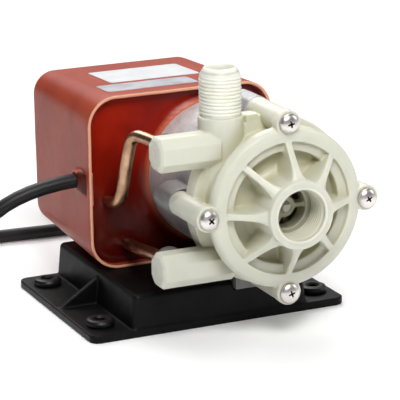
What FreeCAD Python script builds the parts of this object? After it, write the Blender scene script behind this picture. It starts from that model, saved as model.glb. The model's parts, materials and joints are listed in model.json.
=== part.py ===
import FreeCAD, Part
import math
import os
import re

import Sketcher
from FreeCAD import Placement, Rotation, Vector

# Magnetic drive pump: a potted motor on a moulded foot, driving a plastic pump head through its can.
# Row frame: X right, Y to the rear, Z up. The origin is the middle of the four foot holes, on the floor.
# Pump frame: X right, Y up, Z forward along the shaft. Its origin is level with the row origin.

# Driving sizes, in millimetres unless the name says degrees or count
SIZES = {
    # foot
    "foot_width": 144.0,
    "foot_length": 109.0,
    "flange_thick": 4.2,
    "foot_corner": 5.0,
    "block_half": 50.0,
    "block_height": 22.0,
    "block_draft": 2.0,
    "block_front_gap": 0.2,
    "block_round": 2.5,
    "foot_wall": 3.2,
    "foot_roof": 7.6,
    "relief_gap": 0.6,
    "gusset_thick": 3.0,
    "gusset_back": 4.0,
    "hole_inset_x": 11.0,
    "hole_inset_y": 16.5,
    "flange_hole": 6.0,
    "grommet_bore": 2.9,
    "grommet_flange": 7.4,
    "grommet_rise": 3.6,
    "grommet_clear": 0.05,
    # motor shell
    "shell_width": 105.0,
    "shell_height": 93.0,
    "shell_depth": 91.0,
    "shell_front": 7.0,
    "shell_corner": 15.9,
    "shell_rear_round": 1.4,
    "shell_draft": 3.6,
    "shell_wall": 1.6,
    "potting_recess": 6.0,
    "meniscus": 3.0,
    # pump axis
    "axis_x": 20.5,
    # motor bracket
    "bracket_radius": 38.3,
    "bracket_wall": 4.0,
    "bracket_length": 55.0,
    "bracket_root": 9.0,
    "bracket_web": 8.0,
    "heel_wall": 3.0,
    "root_gap": 1.3,
    "overhang_gap": 1.0,
    "lobe_length": 18.0,
    "lobe_foot": 13.0,
    # pump head stack
    "rear_flange": 6.0,
    "volute_depth": 23.0,
    "cover_thick": 6.0,
    "hub_rise": 14.7,
    "head_radius": 41.6,
    "screw_circle": 43.7,
    "boss_radius": 6.3,
    "ear_radius": 6.6,
    "casing_flange": 43.6,
    "casing_flange_depth": 10.0,
    "can_flange": 40.0,
    "lobe_radius": 7.0,
    "volute_bore": 30.0,
    "volute_body": 38.0,
    "seal_groove": 32.4,
    "seal_wire": 1.3,
    # cover
    "shoulder": 4.4,
    "ring_inner": 33.9,
    "ledge_radius": 29.0,
    "ledge_drop": 2.4,
    "dish_depth": 8.5,
    "dish_floor": 3.0,
    "hub_radius": 17.4,
    "inlet_thread": 12.4,
    "inlet_thread_depth": 17.0,
    "inlet_throat": 11.0,
    "inlet_chamfer": 0.9,
    "rib_thick": 3.4,
    "rib_drop": 2.0,
    "rib_count": 8,
    "spider_ring": 5.6,
    "spider_depth": 5.0,
    "spider_arm": 2.6,
    "spider_count": 3,
    # discharge spigot
    "spigot_left": 26.2,
    "spigot_forward": 67.9,
    "spigot_top": 70.6,
    "spigot_radius": 11.4,
    "spigot_collar": 46.0,
    "spigot_lead": 4.1,
    "spigot_mouth": 7.9,
    "spigot_thread": 10.67,
    "spigot_bore": 7.2,
    "outlet_bore": 5.2,
    # port stubs
    "stub_end": 63.5,
    "stub_high": 30.6,
    "stub_low": 29.0,
    "stub_depth": 17.3,
    "stub_height": 17.3,
    "stub_middle": 71.1,
    "high_stub_root": 31.0,
    "low_stub_root": 24.0,
    "stub_bevel": 4.6,
    "stub_channel": 2.0,
    "channel_shift": 3.0,
    "gate_radius": 2.2,
    "gate_depth": 0.5,
    "port_socket": 6.0,
    # cooling tube
    "tube_radius": 3.175,
    "tube_port_x": 52.5,
    "tube_rise_x": 60.5,
    "tube_turn": 29.5,
    "tube_low_y": 12.0,
    "tube_exit_low": 34.5,
    "tube_exit_low_x": 51.0,
    "tube_back": 62.0,
    "tube_bend": 11.5,
    "tube_clear": 0.15,
    "port_seal_radius": 8.6,
    "port_seal_length": 5.0,
    # wet rotor
    "can_bore": 17.6,
    "can_wall": 1.6,
    "can_depth": 34.0,
    "can_floor": 2.0,
    "spindle_radius": 2.4,
    "spindle_tip": 2.0,
    "socket_depth": 5.0,
    "washer_radius": 6.0,
    "washer_thick": 1.5,
    "running": 0.05,
    "wet_magnet_radius": 16.4,
    "wet_magnet_length": 27.0,
    "magnet_cap": 2.0,
    "magnet_core": 9.0,
    "magnet_skin": 1.2,
    "bushing_wall": 2.0,
    "impeller_radius": 27.0,
    "impeller_disc": 3.0,
    "vane_height": 12.0,
    "vane_thick": 2.2,
    "vane_count": 6,
    "impeller_gap": 1.2,
    # drive
    "air_gap": 1.1,
    "drive_magnet_thick": 5.5,
    "drive_magnet_length": 27.0,
    "cup_wall": 2.2,
    "cup_length": 34.0,
    "cup_hub": 8.0,
    "cup_hub_length": 8.0,
    "shaft_radius": 4.0,
    "shaft_front": 20.0,
    "shaft_rear": 72.0,
    "bearing_outer": 11.0,
    "bearing_width": 7.0,
    "inner_race": 6.0,
    "outer_race": 9.0,
    "ball_radius": 1.45,
    "ball_count": 7,
    # motor
    "core_right": 26.0,
    "core_left": 48.0,
    "core_half_height": 28.0,
    "core_front": -20.0,
    "core_thick": 34.0,
    "core_leg": 16.0,
    "rear_cup_length": 9.0,
    "rear_cup_back": 71.0,
    "rear_cup_radius": 17.0,
    "core_window": 10.0,
    "core_window_half": 16.0,
    "rotor_radius": 17.6,
    "rotor_gap": 0.4,
    "coil_build": 5.4,
    "shading_wire": 1.2,
    "shading_across": 13.0,
    "shading_proud": 1.5,
    "potting_clear": 0.1,
    # screws
    "screw_radius": 2.2,
    "screw_hole": 2.3,
    "screw_head": 5.1,
    "screw_head_high": 3.5,
    "screw_bite": 14.0,
    "screw_recess": 1.9,
    # power cord
    "cord_radius": 3.8,
    "cord_exit_back": 8.0,
    "cord_exit_high": 69.0,
    "boot_radius": 6.6,
    "boot_proud": 2.6,
    "coil_middle": 44.5,
    "coil_x": 45.0,
    "coil_y": 176.0,
    "coil_width": 28.0,
    "coil_high": 15.2,
    "plug_offset": 8.0,
    "plug_length": 30.0,
    "plug_width": 25.0,
    "plug_height": 20.0,
    # labels
    "label_thick": 0.2,
    "label_width": 52.0,
    "label_corner": 2.0,
    "front_label_length": 18.0,
    "front_label_x": -10.0,
    "front_label_y": 14.0,
    "rear_label_length": 34.0,
    "rear_label_x": 1.0,
    "rear_label_y": 45.0,
}

# Places and sizes that follow from the driving ones
DERIVED = {
    "shell_rear": "shell_front - shell_depth",
    "axis_z": "block_height + shell_height / 2",
    "potting_face": "shell_front - potting_recess",
    "bracket_face": "potting_face + bracket_length",
    "volute_back": "bracket_face + rear_flange",
    "joint_face": "volute_back + volute_depth",
    "cover_face": "joint_face + cover_thick",
    "hub_face": "cover_face + hub_rise",
    "can_outer": "can_bore + can_wall",
    "can_end": "bracket_face - can_depth",
    "cup_inner": "can_outer + air_gap + drive_magnet_thick",
    "cup_outer": "cup_inner + cup_wall",
    "cup_front": "bracket_face - 1.5",
    "cup_back": "cup_front - cup_length - cup_wall",
    "core_rear": "core_front - core_thick",
    "core_bore": "rotor_radius + rotor_gap",
    "hole_span_x": "foot_width - 2 * hole_inset_x",
    "hole_span_y": "foot_length - 2 * hole_inset_y",
    "spindle_back": "can_end + can_floor",
    "spider_back": "hub_face - inlet_thread_depth - spindle_tip - spider_depth",
    "spindle_front": "spider_back + spider_depth + spindle_tip - 0.1",
    "spindle_bore": "spindle_radius + running",
    "wet_back": "can_end + can_floor + socket_depth + washer_thick + running",
    "wet_front": "spider_back - washer_thick - running",
    "disc_back": "volute_back + impeller_gap",
    "inner_face": "cover_face - dish_depth - dish_floor",
    "stub_back": "stub_middle - stub_depth / 2",
    "washer_seat": "spider_back - washer_thick",
    "rear_washer": "can_end + can_floor + socket_depth",
}

doc = FreeCAD.newDocument("MagneticDrivePump")


def make_sheet():
    """The driving sizes, one row each: name, value."""
    sheet = doc.addObject("Spreadsheet::Sheet", "Sizes")
    for row, (name, value) in enumerate(SIZES.items(), start=1):
        sheet.set(f"A{row}", name)
        sheet.set(f"B{row}", repr(value))
        sheet.setAlias(f"B{row}", name)
    doc.recompute()
    return sheet


sheet = make_sheet()


def bound(text):
    """The text with every size name pointed at its cell, and every derived name written out."""

    def swap(found):
        word = found.group()
        if word in DERIVED:
            return "(" + bound(DERIVED[word]) + ")"
        return "Sizes." + word if word in SIZES else word

    return re.sub(r"[A-Za-z_]\w*", swap, str(text))


def value(text):
    """The number that a formula of size names gives."""
    found = sheet.evalExpression(bound(text))
    return float(getattr(found, "Value", found))


def tie(item, **formulas):
    """Binds properties of a document object to formulas. A double underscore stands for a dot."""
    for name, formula in formulas.items():
        item.setExpression(name.replace("__", "."), bound(formula))
    return item


def placement(frame, x="0", y="0", z="0", turn=None):
    """A placement in the pump frame or the row frame."""
    shift = Vector(value(x), value(y), value(z))
    inner = Placement(shift, turn or Rotation())
    if frame == "row":
        return inner
    outer = Placement(Vector(value("axis_x"), 0, value("axis_z")), Rotation(Vector(1, 0, 0), 90))
    return outer.multiply(inner)


def body(label, frame="pump"):
    made = doc.addObject("PartDesign::Body", label + "_body")
    made.Label = label
    made.Placement = placement(frame)
    return made


def origin_feature(owner, role):
    return next(f for f in owner.Origin.OriginFeatures if f.Role == role)


def sketch(owner, name, plane="XY_Plane", x="0", y="0", z="0"):
    """An empty sketch on one of the body's origin planes, moved in that plane's own axes."""
    made = owner.newObject("Sketcher::SketchObject", name)
    made.AttachmentSupport = [(origin_feature(owner, plane), "")]
    made.MapMode = "FlatFace"
    for axis, formula in (("x", x), ("y", y), ("z", z)):
        if formula != "0":
            made.setExpression(f"AttachmentOffset.Base.{axis}", bound(formula))
    return made


def pin_point(drawn, geometry, position, x, y):
    """Holds a sketch point at two formulas measured from the sketch origin."""
    for kind, formula in (("DistanceX", x), ("DistanceY", y)):
        held = drawn.addConstraint(Sketcher.Constraint(kind, -1, 1, geometry, position, value(formula)))
        drawn.setExpression(f"Constraints[{held}]", bound(formula))


def polygon(drawn, corners):
    """A closed outline of straight sides through corners given as formula pairs."""
    points = [Vector(value(x), value(y), 0) for x, y in corners]
    first = drawn.GeometryCount
    count = len(points)
    for i in range(count):
        drawn.addGeometry(Part.LineSegment(points[i], points[(i + 1) % count]))
    for i in range(count):
        drawn.addConstraint(Sketcher.Constraint("Coincident", first + i, 2, first + (i + 1) % count, 1))
    for i, (x, y) in enumerate(corners):
        pin_point(drawn, first + i, 1, x, y)
    return drawn


def circle(drawn, x, y, radius):
    made = drawn.addGeometry(Part.Circle(Vector(value(x), value(y), 0), Vector(0, 0, 1), value(radius)))
    pin_point(drawn, made, 3, x, y)
    held = drawn.addConstraint(Sketcher.Constraint("Radius", made, value(radius)))
    drawn.setExpression(f"Constraints[{held}]", bound(radius))
    return drawn


def rounded_box(drawn, left, right, low, high, corner):
    """A rectangle with four round corners: arcs held by their centres, sides joined to them."""
    l, r, b, t, c = (value(v) for v in (left, right, low, high, corner))
    quarters = [
        (f"({right}) - ({corner})", f"({high}) - ({corner})", 0),
        (f"({left}) + ({corner})", f"({high}) - ({corner})", 90),
        (f"({left}) + ({corner})", f"({low}) + ({corner})", 180),
        (f"({right}) - ({corner})", f"({low}) + ({corner})", 270),
    ]
    first = drawn.GeometryCount
    for x, y, start in quarters:
        centre = Vector(value(x), value(y), 0)
        ring = Part.Circle(centre, Vector(0, 0, 1), c)
        drawn.addGeometry(Part.ArcOfCircle(ring, math.radians(start), math.radians(start + 90)))
    sides = [((r - c, t), (l + c, t)), ((l, t - c), (l, b + c)), ((l + c, b), (r - c, b)), ((r, b + c), (r, t - c))]
    for start, end in sides:
        drawn.addGeometry(Part.LineSegment(Vector(*start, 0), Vector(*end, 0)))
    for i, (x, y, _) in enumerate(quarters):
        pin_point(drawn, first + i, 3, x, y)
        arc, side, after = first + i, first + 4 + i, first + (i + 1) % 4
        drawn.addConstraint(Sketcher.Constraint("Tangent", arc, 2, side, 1))
        drawn.addConstraint(Sketcher.Constraint("Tangent", side, 2, after, 1))
    held = drawn.addConstraint(Sketcher.Constraint("Radius", first, value(corner)))
    drawn.setExpression(f"Constraints[{held}]", bound(corner))
    return drawn


def feature(owner, kind, name, profile, **formulas):
    made = owner.newObject("PartDesign::" + kind, name)
    made.Profile = profile
    if profile.TypeId == "Sketcher::SketchObject":
        profile.Visibility = False
    return tie(made, **formulas)


def pad(owner, name, profile, length, reverse=False, middle=False):
    made = feature(owner, "Pad", name, profile, Length=length)
    made.Reversed = reverse
    made.Midplane = middle
    return made


def pocket(owner, name, profile, length, reverse=False, middle=False):
    """A pocket that has to take material away."""
    doc.recompute()
    before = owner.Tip.Shape.Volume
    made = feature(owner, "Pocket", name, profile, Length=length)
    made.Reversed = reverse
    made.Midplane = middle
    doc.recompute()
    if made.Shape.Volume >= before:
        raise ValueError(f"{owner.Label}: pocket {name} cut nothing")
    return made


def spin(owner, name, profile, cut=False):
    """A full turn about the sketch's own vertical axis."""
    made = feature(owner, "Groove" if cut else "Revolution", name, profile)
    made.ReferenceAxis = (profile, ["V_Axis"])
    made.Angle = 360.0
    return made


def around(owner, name, original, count):
    """Copies of one feature, evenly round the shaft."""
    made = owner.newObject("PartDesign::PolarPattern", name)
    made.Originals = [original]
    made.Axis = (origin_feature(owner, "Z_Axis"), [""])
    made.Angle = 360.0
    made.Occurrences = round(value(count))
    owner.Tip = made
    return made


def profile(owner, name, corners, **where):
    return polygon(sketch(owner, name, "XZ_Plane", **where), corners)


def disc_sketch(owner, name, radius, z="0", x="0", y="0"):
    return circle(sketch(owner, name, "XY_Plane", z=z), x, y, radius)


def round_edges(owner, name, radius, chosen, kind="Fillet"):
    """Rounds or bevels the edges of the body's last feature that the test picks."""
    doc.recompute()
    last = owner.Tip
    found = [f"Edge{i}" for i, edge in enumerate(last.Shape.Edges, start=1) if chosen(edge)]
    if not found:
        raise ValueError(f"{owner.Label}: {name} finds no edge")
    made = owner.newObject("PartDesign::" + kind, name)
    made.Base = (last, found)
    return tie(made, **{"Radius" if kind == "Fillet" else "Size": radius})


def turned(label, corners, frame="pump"):
    """A body made by one turn of an outline of (radius, forward) corners."""
    made = body(label, frame)
    spin(made, label + "_turn", profile(made, label + "_outline", corners))
    return made


# Foot


def make_foot():
    owner = body("mounting_foot", "row")
    half_x, half_y = "foot_width / 2", "foot_length / 2"
    plate = rounded_box(sketch(owner, "foot_outline"), f"-{half_x}", half_x, f"-{half_y}", half_y, "foot_corner")
    pad(owner, "foot_plate", plate, "flange_thick")
    low = sketch(owner, "block_low", z="0")
    front = f"-{half_y} + block_front_gap"
    rounded_box(low, "-block_half", "block_half", front, half_y, "3")
    high = sketch(owner, "block_high", z="block_height")
    top = "block_half - block_draft"
    rounded_box(high, f"-({top})", top, f"{front} + block_draft / 2", f"{half_y} - block_draft / 2", "3")
    block = owner.newObject("PartDesign::AdditiveLoft", "block")
    block.Profile = low
    block.Sections = [high]
    block.Ruled = True
    tall = value("block_height")
    round_edges(owner, "block_edges", "block_round", lambda e: abs(e.BoundBox.ZMin - tall) < 0.01
                and abs(e.BoundBox.ZMax - tall) < 0.01)
    # one gusset each side, between the holes
    ramp = sketch(owner, "gusset_outline", "XZ_Plane", z="gusset_back")
    reach = "foot_width / 2 - 1.5"
    polygon(
        ramp,
        [
            (reach, "flange_thick - 1"),
            (reach, "flange_thick"),
            ("block_half - block_draft + 0.3", "block_height - 3.2"),
            ("block_half - 8", "block_height - 3.2"),
            ("block_half - 8", "flange_thick - 1"),
        ],
    )
    gusset = pad(owner, "gusset", ramp, "gusset_thick", middle=True)
    mirror = owner.newObject("PartDesign::Mirrored", "gussets")
    mirror.Originals = [gusset]
    mirror.MirrorPlane = (origin_feature(owner, "YZ_Plane"), [""])
    owner.Tip = mirror
    # open underside with one cross web
    web = "foot_wall / 2"
    for name, a, b in (
        ("hollow_front", f"{front} + foot_wall", f"-({web})"),
        ("hollow_rear", web, f"{half_y} - foot_wall"),
    ):
        hollow = rounded_box(sketch(owner, name + "_outline"), "-block_half + foot_wall + block_draft",
                             "block_half - foot_wall - block_draft", a, b, "2")
        pocket(owner, name, hollow, "block_height - foot_roof", reverse=True)
    # a relief under the bracket's lowest lobe
    relief = sketch(owner, "relief_outline", z="block_height")
    rounded_box(relief, "axis_x - lobe_foot - relief_gap", "axis_x + lobe_foot + relief_gap",
                "-foot_length", "-(bracket_face - lobe_length) + relief_gap", "1")
    pocket(owner, "relief", relief, "block_height - (axis_z - screw_circle - lobe_radius - relief_gap)")
    holes = sketch(owner, "grommet_holes")
    for sx in ("", "-"):
        for sy in ("", "-"):
            circle(holes, f"{sx}hole_span_x / 2", f"{sy}hole_span_y / 2", "flange_hole")
    pocket(owner, "grommet_seats", holes, "flange_thick", reverse=True)
    return owner


def make_grommets():
    """Four rubber bushings in the foot's holes, each with a rounded collar above and a thin lip below."""
    seat = "flange_hole - grommet_clear"
    made = []
    for i, (sx, sy) in enumerate(((1, 1), (-1, 1), (-1, -1), (1, -1)), start=1):
        owner = body(f"foot_grommet_{i}", "row")
        collar = profile(
            owner,
            f"grommet_outline_{i}",
            [
                ("grommet_bore", "0.4"),
                (seat, "0.4"),
                (seat, "flange_thick"),
                ("grommet_flange - 0.5", "flange_thick"),
                ("grommet_flange", "flange_thick + 0.8"),
                ("grommet_flange", "flange_thick + grommet_rise - 1.5"),
                ("grommet_flange - 0.7", "flange_thick + grommet_rise - 0.4"),
                ("grommet_flange - 1.9", "flange_thick + grommet_rise"),
                ("grommet_bore + 0.9", "flange_thick + grommet_rise"),
                ("grommet_bore", "flange_thick + grommet_rise - 0.9"),
            ],
        )
        spin(owner, f"grommet_{i}", collar)
        owner.Placement = Placement(
            Vector(sx * value("hole_span_x") / 2, sy * value("hole_span_y") / 2, 0), Rotation()
        )
        made.append(owner)
    return made


# Motor shell and potting


def shell_outline(owner, name, forward, inset):
    """The shell's outline at a place along its depth, moved in by an inset. It shrinks to the rear by the draft."""
    shrink = f"(shell_draft * (shell_front - ({forward})) / shell_depth + {inset})"
    half = "shell_width / 2"
    drawn = sketch(owner, name, z=forward)
    return rounded_box(
        drawn,
        f"-axis_x - {half} + {shrink}",
        f"{half} - axis_x - {shrink}",
        f"-shell_height / 2 + {shrink}",
        f"shell_height / 2 - {shrink}",
        f"shell_corner - {shrink}",
    )


def drafted(owner, kind, name, outline, length, reverse):
    """A pad or pocket that runs to the rear and narrows by the shell's draft."""
    angle = "-atan(shell_draft / shell_depth)"
    made = feature(owner, kind, name, outline, Length=length, TaperAngle=angle)
    made.Reversed = reverse
    return made


def make_shell():
    owner = body("motor_shell")
    drafted(owner, "Pad", "shell_form", shell_outline(owner, "rim", "shell_front", "0"), "shell_depth", True)
    inside = shell_outline(owner, "rim_inside", "shell_front", "shell_wall")
    drafted(owner, "Pocket", "shell_hollow", inside, "shell_depth - shell_wall", False)
    rear = value("shell_rear")
    round_edges(owner, "rear_round", "shell_rear_round", lambda e: abs(e.BoundBox.ZMin - rear) < 0.01
                and abs(e.BoundBox.ZMax - rear) < 0.01)
    # the cord hole, through the left wall
    hole = sketch(owner, "cord_hole_outline", "YZ_Plane", z="-axis_x - shell_width / 2 - 1")
    circle(hole, "cord_exit_high - axis_z", "-cord_exit_back", "cord_radius + 0.4")
    pocket(owner, "cord_hole", hole, "8", reverse=True)
    return owner


def tube_centre_line():
    """The cooling tube's path in the pump frame: top port, down into the potting, round and out to the low port."""
    port = "stub_back + port_socket"
    clear = "1.2 * tube_bend"
    places = [
        ("-tube_port_x", "stub_high", port),
        ("-tube_port_x", "stub_high", "tube_turn"),
        ("-tube_rise_x", "-tube_low_y", f"potting_face + {clear}"),
        ("-tube_rise_x", "-tube_low_y", f"potting_face - {clear}"),
        ("-tube_rise_x", "-tube_low_y + 4", "-tube_back"),
        ("-tube_exit_low_x - 3", "-tube_exit_low", "-tube_back"),
        ("-tube_exit_low_x", "-tube_exit_low", "potting_face - 6"),
        ("-tube_port_x", "-stub_low", "stub_back - 14"),
        ("-tube_port_x", "-stub_low", port),
    ]
    return [Vector(*(value(v) for v in place)) for place in places]


def bent_path(points, radius):
    """Straight runs joined by tangent arcs, as one wire."""
    edges = []
    start = points[0]
    for before, here, after in zip(points, points[1:], points[2:]):
        inward, outward = (before - here).normalize(), (after - here).normalize()
        turn = math.pi - inward.getAngle(outward)
        if turn < 1e-3:
            continue
        room = 0.45 * min((before - here).Length, (after - here).Length)
        cut = min(radius * math.tan(turn / 2), room)
        bend = cut / math.tan(turn / 2)
        first, last = here + inward * cut, here + outward * cut
        bisector = (inward + outward).normalize()
        middle = here + bisector * (bend / math.cos(turn / 2) - bend)
        if (first - start).Length > 1e-6:
            edges.append(Part.LineSegment(start, first).toShape())
        edges.append(Part.Arc(first, middle, last).toShape())
        start = last
    edges.append(Part.LineSegment(start, points[-1]).toShape())
    return Part.Wire(edges)


def tube_solid(path, outer, inner=0.0):
    """A round tube along a path."""
    start = path.Edges[0]
    heading = start.tangentAt(start.FirstParameter)
    at = start.valueAt(start.FirstParameter)

    def swept(radius):
        ring = Part.Wire([Part.Circle(at, heading, radius).toShape()])
        return path.makePipeShell([ring], True, False)

    solid = swept(outer)
    return solid.cut(swept(inner)) if inner else solid


def shape_node(label, shape, frame="pump"):
    made = doc.addObject("Part::Feature", label + "_form")
    made.Label = label
    made.Shape = shape
    made.Placement = placement(frame)
    return made


def make_cooling_tube():
    path = bent_path(tube_centre_line(), value("tube_bend"))
    return shape_node("cooling_tube", tube_solid(path, value("tube_radius"), value("tube_radius") - 0.8))


def make_port_seals():
    """Two grey rubber bushings that seal the tube's ends in the port stubs."""
    made = []
    for name, height in (("upper_port_seal", "stub_high"), ("lower_port_seal", "-stub_low")):
        outer, inner = value("port_seal_radius"), value("tube_radius + tube_clear")
        at = Vector(value("-tube_port_x"), value(height), value("stub_back - port_seal_length"))
        ring = Part.makeCylinder(outer, value("port_seal_length"), at)
        ring = ring.cut(Part.makeCylinder(inner, value("port_seal_length"), at))
        made.append(shape_node(name, ring))
    return made


def make_potting():
    """The red epoxy that fills the shell, with room for the motor, the bracket's root and the tube."""
    owner = doc.addObject("PartDesign::Body", "potting_block")
    owner.Placement = placement("pump")
    front = shell_outline(owner, "potting_front", "potting_face", "shell_wall")
    drafted(owner, "Pad", "potting_form", front, "potting_face - shell_rear - shell_wall", True)
    # the raised edge where the resin clings to the bracket
    lip = profile(
        owner,
        "meniscus_outline",
        [
            ("bracket_radius", "potting_face - 1"),
            ("bracket_radius + meniscus", "potting_face - 1"),
            ("bracket_radius + meniscus", "potting_face"),
            ("bracket_radius + 0.8", "potting_face + 0.8"),
            ("bracket_radius", "potting_face + meniscus"),
        ],
    )
    spin(owner, "meniscus_ring", lip)
    # the clinging edge stops at the shell's right wall
    side = sketch(owner, "side_outline", z="potting_face + meniscus + 1")
    rounded_box(side, "shell_width / 2 - axis_x - shell_wall", "bracket_radius + 6",
                "-bracket_radius - 6", "bracket_radius + 6", "0.2")
    pocket(owner, "side_trim", side, "meniscus + 2.5")
    room = sketch(owner, "motor_room_outline", z="core_front + coil_build + 1")
    rounded_box(room, "-core_left - coil_build - potting_clear", "core_right + potting_clear",
                "-core_half_height - potting_clear", "core_half_height + potting_clear", "1")
    pocket(owner, "motor_room", room, "core_thick + 2 * coil_build + 2")
    shaft_way = disc_sketch(owner, "shaft_way_outline", "rear_cup_radius", z="potting_face - bracket_root")
    pocket(owner, "shaft_way", shaft_way, "potting_face - bracket_root + rear_cup_back + 3")
    hole = sketch(owner, "cord_way_outline", "YZ_Plane", z="-axis_x - shell_width / 2")
    circle(hole, "cord_exit_high - axis_z", "-cord_exit_back", "cord_radius + tube_clear")
    pocket(owner, "cord_way", hole, "11", reverse=True)
    doc.recompute()
    path = bent_path(tube_centre_line(), value("tube_bend"))
    tube = tube_solid(path, value("tube_radius + tube_clear"))
    tube.Placement = placement("pump")
    made = doc.addObject("Part::Feature", "epoxy_potting_form")
    made.Label = "epoxy_potting"
    made.Shape = owner.Shape.cut([tube, bracket_seat()])
    return made


def bracket_seat():
    """The room the bracket's root takes in the potting."""
    back, front = value("potting_face - bracket_root"), value("potting_face + meniscus + 2")
    radius = value("bracket_radius")
    drum = Part.makeCylinder(radius, front - back, Vector(0, 0, back))
    flat = value("shell_width / 2 - axis_x - shell_wall - root_gap")
    slab = Part.makeBox(flat + radius, 2 * radius, front - back, Vector(-radius, -radius, back))
    seat = drum.common(slab)
    seat.Placement = placement("pump")
    return seat


# Motor bracket and drive


def make_bracket():
    """The cast bracket: a drum open to the front, a bearing wall at the back and four screw lobes."""
    back = "potting_face - bracket_root"
    owner = turned(
        "motor_bracket",
        [
            ("bearing_outer", back),
            ("bracket_radius", back),
            ("bracket_radius", "bracket_face"),
            ("bracket_radius - bracket_wall", "bracket_face"),
            ("bracket_radius - bracket_wall", f"{back} + bracket_web"),
            ("bearing_outer", f"{back} + bracket_web"),
        ],
    )
    # the drum overhangs the shell on the right, so its root is cut flat to fit inside
    flat = "shell_width / 2 - axis_x - shell_wall - root_gap"
    heel = sketch(owner, "heel_outline", z=back)
    reach = "(bracket_radius - 1.8)"
    inner = f"({flat} - heel_wall)"
    polygon(
        heel,
        [
            (inner, f"-sqrt({reach} * {reach} - {inner} * {inner})"),
            (f"{reach} * 0.88", f"-{reach} * 0.475"),
            (f"{reach} * 0.97", f"-{reach} * 0.243"),
            (f"{reach} * 0.97", f"{reach} * 0.243"),
            (f"{reach} * 0.88", f"{reach} * 0.475"),
            (inner, f"sqrt({reach} * {reach} - {inner} * {inner})"),
        ],
    )
    pad(owner, "heel", heel, f"shell_front + overhang_gap + heel_wall - ({back})")
    slab = sketch(owner, "flat_outline", z=back)
    rounded_box(slab, flat, "bracket_radius + 4", "-bracket_radius - 4", "bracket_radius + 4", "1")
    pocket(owner, "flat", slab, f"shell_front + overhang_gap - ({back})", reverse=True)
    lobes = sketch(owner, "lobe_outline", z="bracket_face")
    polygon(
        lobes,
        [
            ("screw_circle - lobe_radius - 2.5", "-lobe_radius"),
            ("screw_circle", "-lobe_radius"),
            ("screw_circle + lobe_radius * 0.7", "-lobe_radius * 0.7"),
            ("screw_circle + lobe_radius", "0"),
            ("screw_circle + lobe_radius * 0.7", "lobe_radius * 0.7"),
            ("screw_circle", "lobe_radius"),
            ("screw_circle - lobe_radius - 2.5", "lobe_radius"),
        ],
    )
    lobe = pad(owner, "lobe", lobes, "lobe_length", reverse=True)
    around(owner, "lobes", lobe, "4")
    round_edges(
        owner,
        "lobe_round",
        "2",
        lambda e: e.Curve.TypeId == "Part::GeomLine"
        and abs(e.Curve.Direction.z) > 0.99
        and math.hypot(e.CenterOfMass.x, e.CenterOfMass.y) > value("screw_circle"),
    )
    # the lowest lobe stands on a broader foot
    base = sketch(owner, "lobe_foot_outline", z="bracket_face")
    rounded_box(base, "-lobe_foot", "lobe_foot", "-screw_circle - lobe_radius", "-bracket_radius + 3", "0.6")
    pad(owner, "lobe_foot_pad", base, "lobe_length", reverse=True)
    hole = disc_sketch(owner, "screw_hole_outline", "screw_radius + running", z="bracket_face", x="screw_circle")
    first = pocket(owner, "screw_hole", hole, "screw_bite + 1")
    around(owner, "screw_holes", first, "4")
    return owner


def make_bearing(name, back):
    """A ball bearing in three nodes: the fixed outer ring, the balls and the ring that turns with the shaft."""
    front = f"{back} + bearing_width"
    outer = turned(
        f"{name}_outer_ring",
        [("outer_race", back), ("bearing_outer", back), ("bearing_outer", front), ("outer_race", front)],
    )
    inner = turned(
        f"{name}_inner_ring",
        [("shaft_radius", back), ("inner_race", back), ("inner_race", front), ("shaft_radius", front)],
    )
    pitch = value("(inner_race + outer_race) / 2")
    count = round(value("ball_count"))
    middle = value(f"{back} + bearing_width / 2")
    balls = []
    for i in range(count):
        turn = 2 * math.pi * i / count
        balls.append(Part.makeSphere(value("ball_radius"), Vector(pitch * math.cos(turn), pitch * math.sin(turn), middle)))
    return [outer, inner, shape_node(f"{name}_balls", Part.makeCompound(balls))]


def make_drive_cup():
    """The steel cup that carries the drive magnet round the can."""
    owner = turned(
        "drive_cup",
        [
            ("shaft_radius", "cup_back - cup_hub_length"),
            ("cup_hub", "cup_back - cup_hub_length"),
            ("cup_hub", "cup_back"),
            ("cup_outer - 2", "cup_back"),
            ("cup_outer", "cup_back + 2"),
            ("cup_outer", "cup_front"),
            ("cup_inner", "cup_front"),
            ("cup_inner", "cup_back + cup_wall"),
            ("shaft_radius", "cup_back + cup_wall"),
        ],
    )
    hole = sketch(owner, "set_screw_outline", "YZ_Plane", z="cup_hub + 1")
    circle(hole, "0", "cup_back - cup_hub_length / 2", "1.5")
    pocket(owner, "set_screw_hole", hole, "cup_hub + 1 - shaft_radius")
    return owner


def make_drive_magnet():
    """A ring magnet bonded inside the cup."""
    start = "cup_back + cup_wall + 3"
    end = f"{start} + drive_magnet_length"
    inner = "cup_inner - drive_magnet_thick"
    return turned(
        "drive_magnet",
        [
            (inner, f"{start} + 0.6"),
            (f"{inner} + 0.6", start),
            ("cup_inner", start),
            ("cup_inner", end),
            (f"{inner} + 0.6", end),
            (inner, f"{end} - 0.6"),
        ],
    )


def make_set_screw():
    made = doc.addObject("Part::Cylinder", "cup_set_screw_form")
    made.Label = "cup_set_screw"
    tie(made, Radius="1.5", Height="cup_hub - shaft_radius - 0.4")
    made.Placement = placement(
        "pump", "shaft_radius", "0", "cup_back - cup_hub_length / 2", Rotation(Vector(0, 1, 0), 90)
    )
    return made


def make_shaft():
    return turned(
        "motor_shaft",
        [
            ("0", "-shaft_rear"),
            ("shaft_radius - 0.6", "-shaft_rear"),
            ("shaft_radius", "-shaft_rear + 0.6"),
            ("shaft_radius", "shaft_front - 0.6"),
            ("shaft_radius - 0.6", "shaft_front"),
            ("0", "shaft_front"),
        ],
    )


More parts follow.
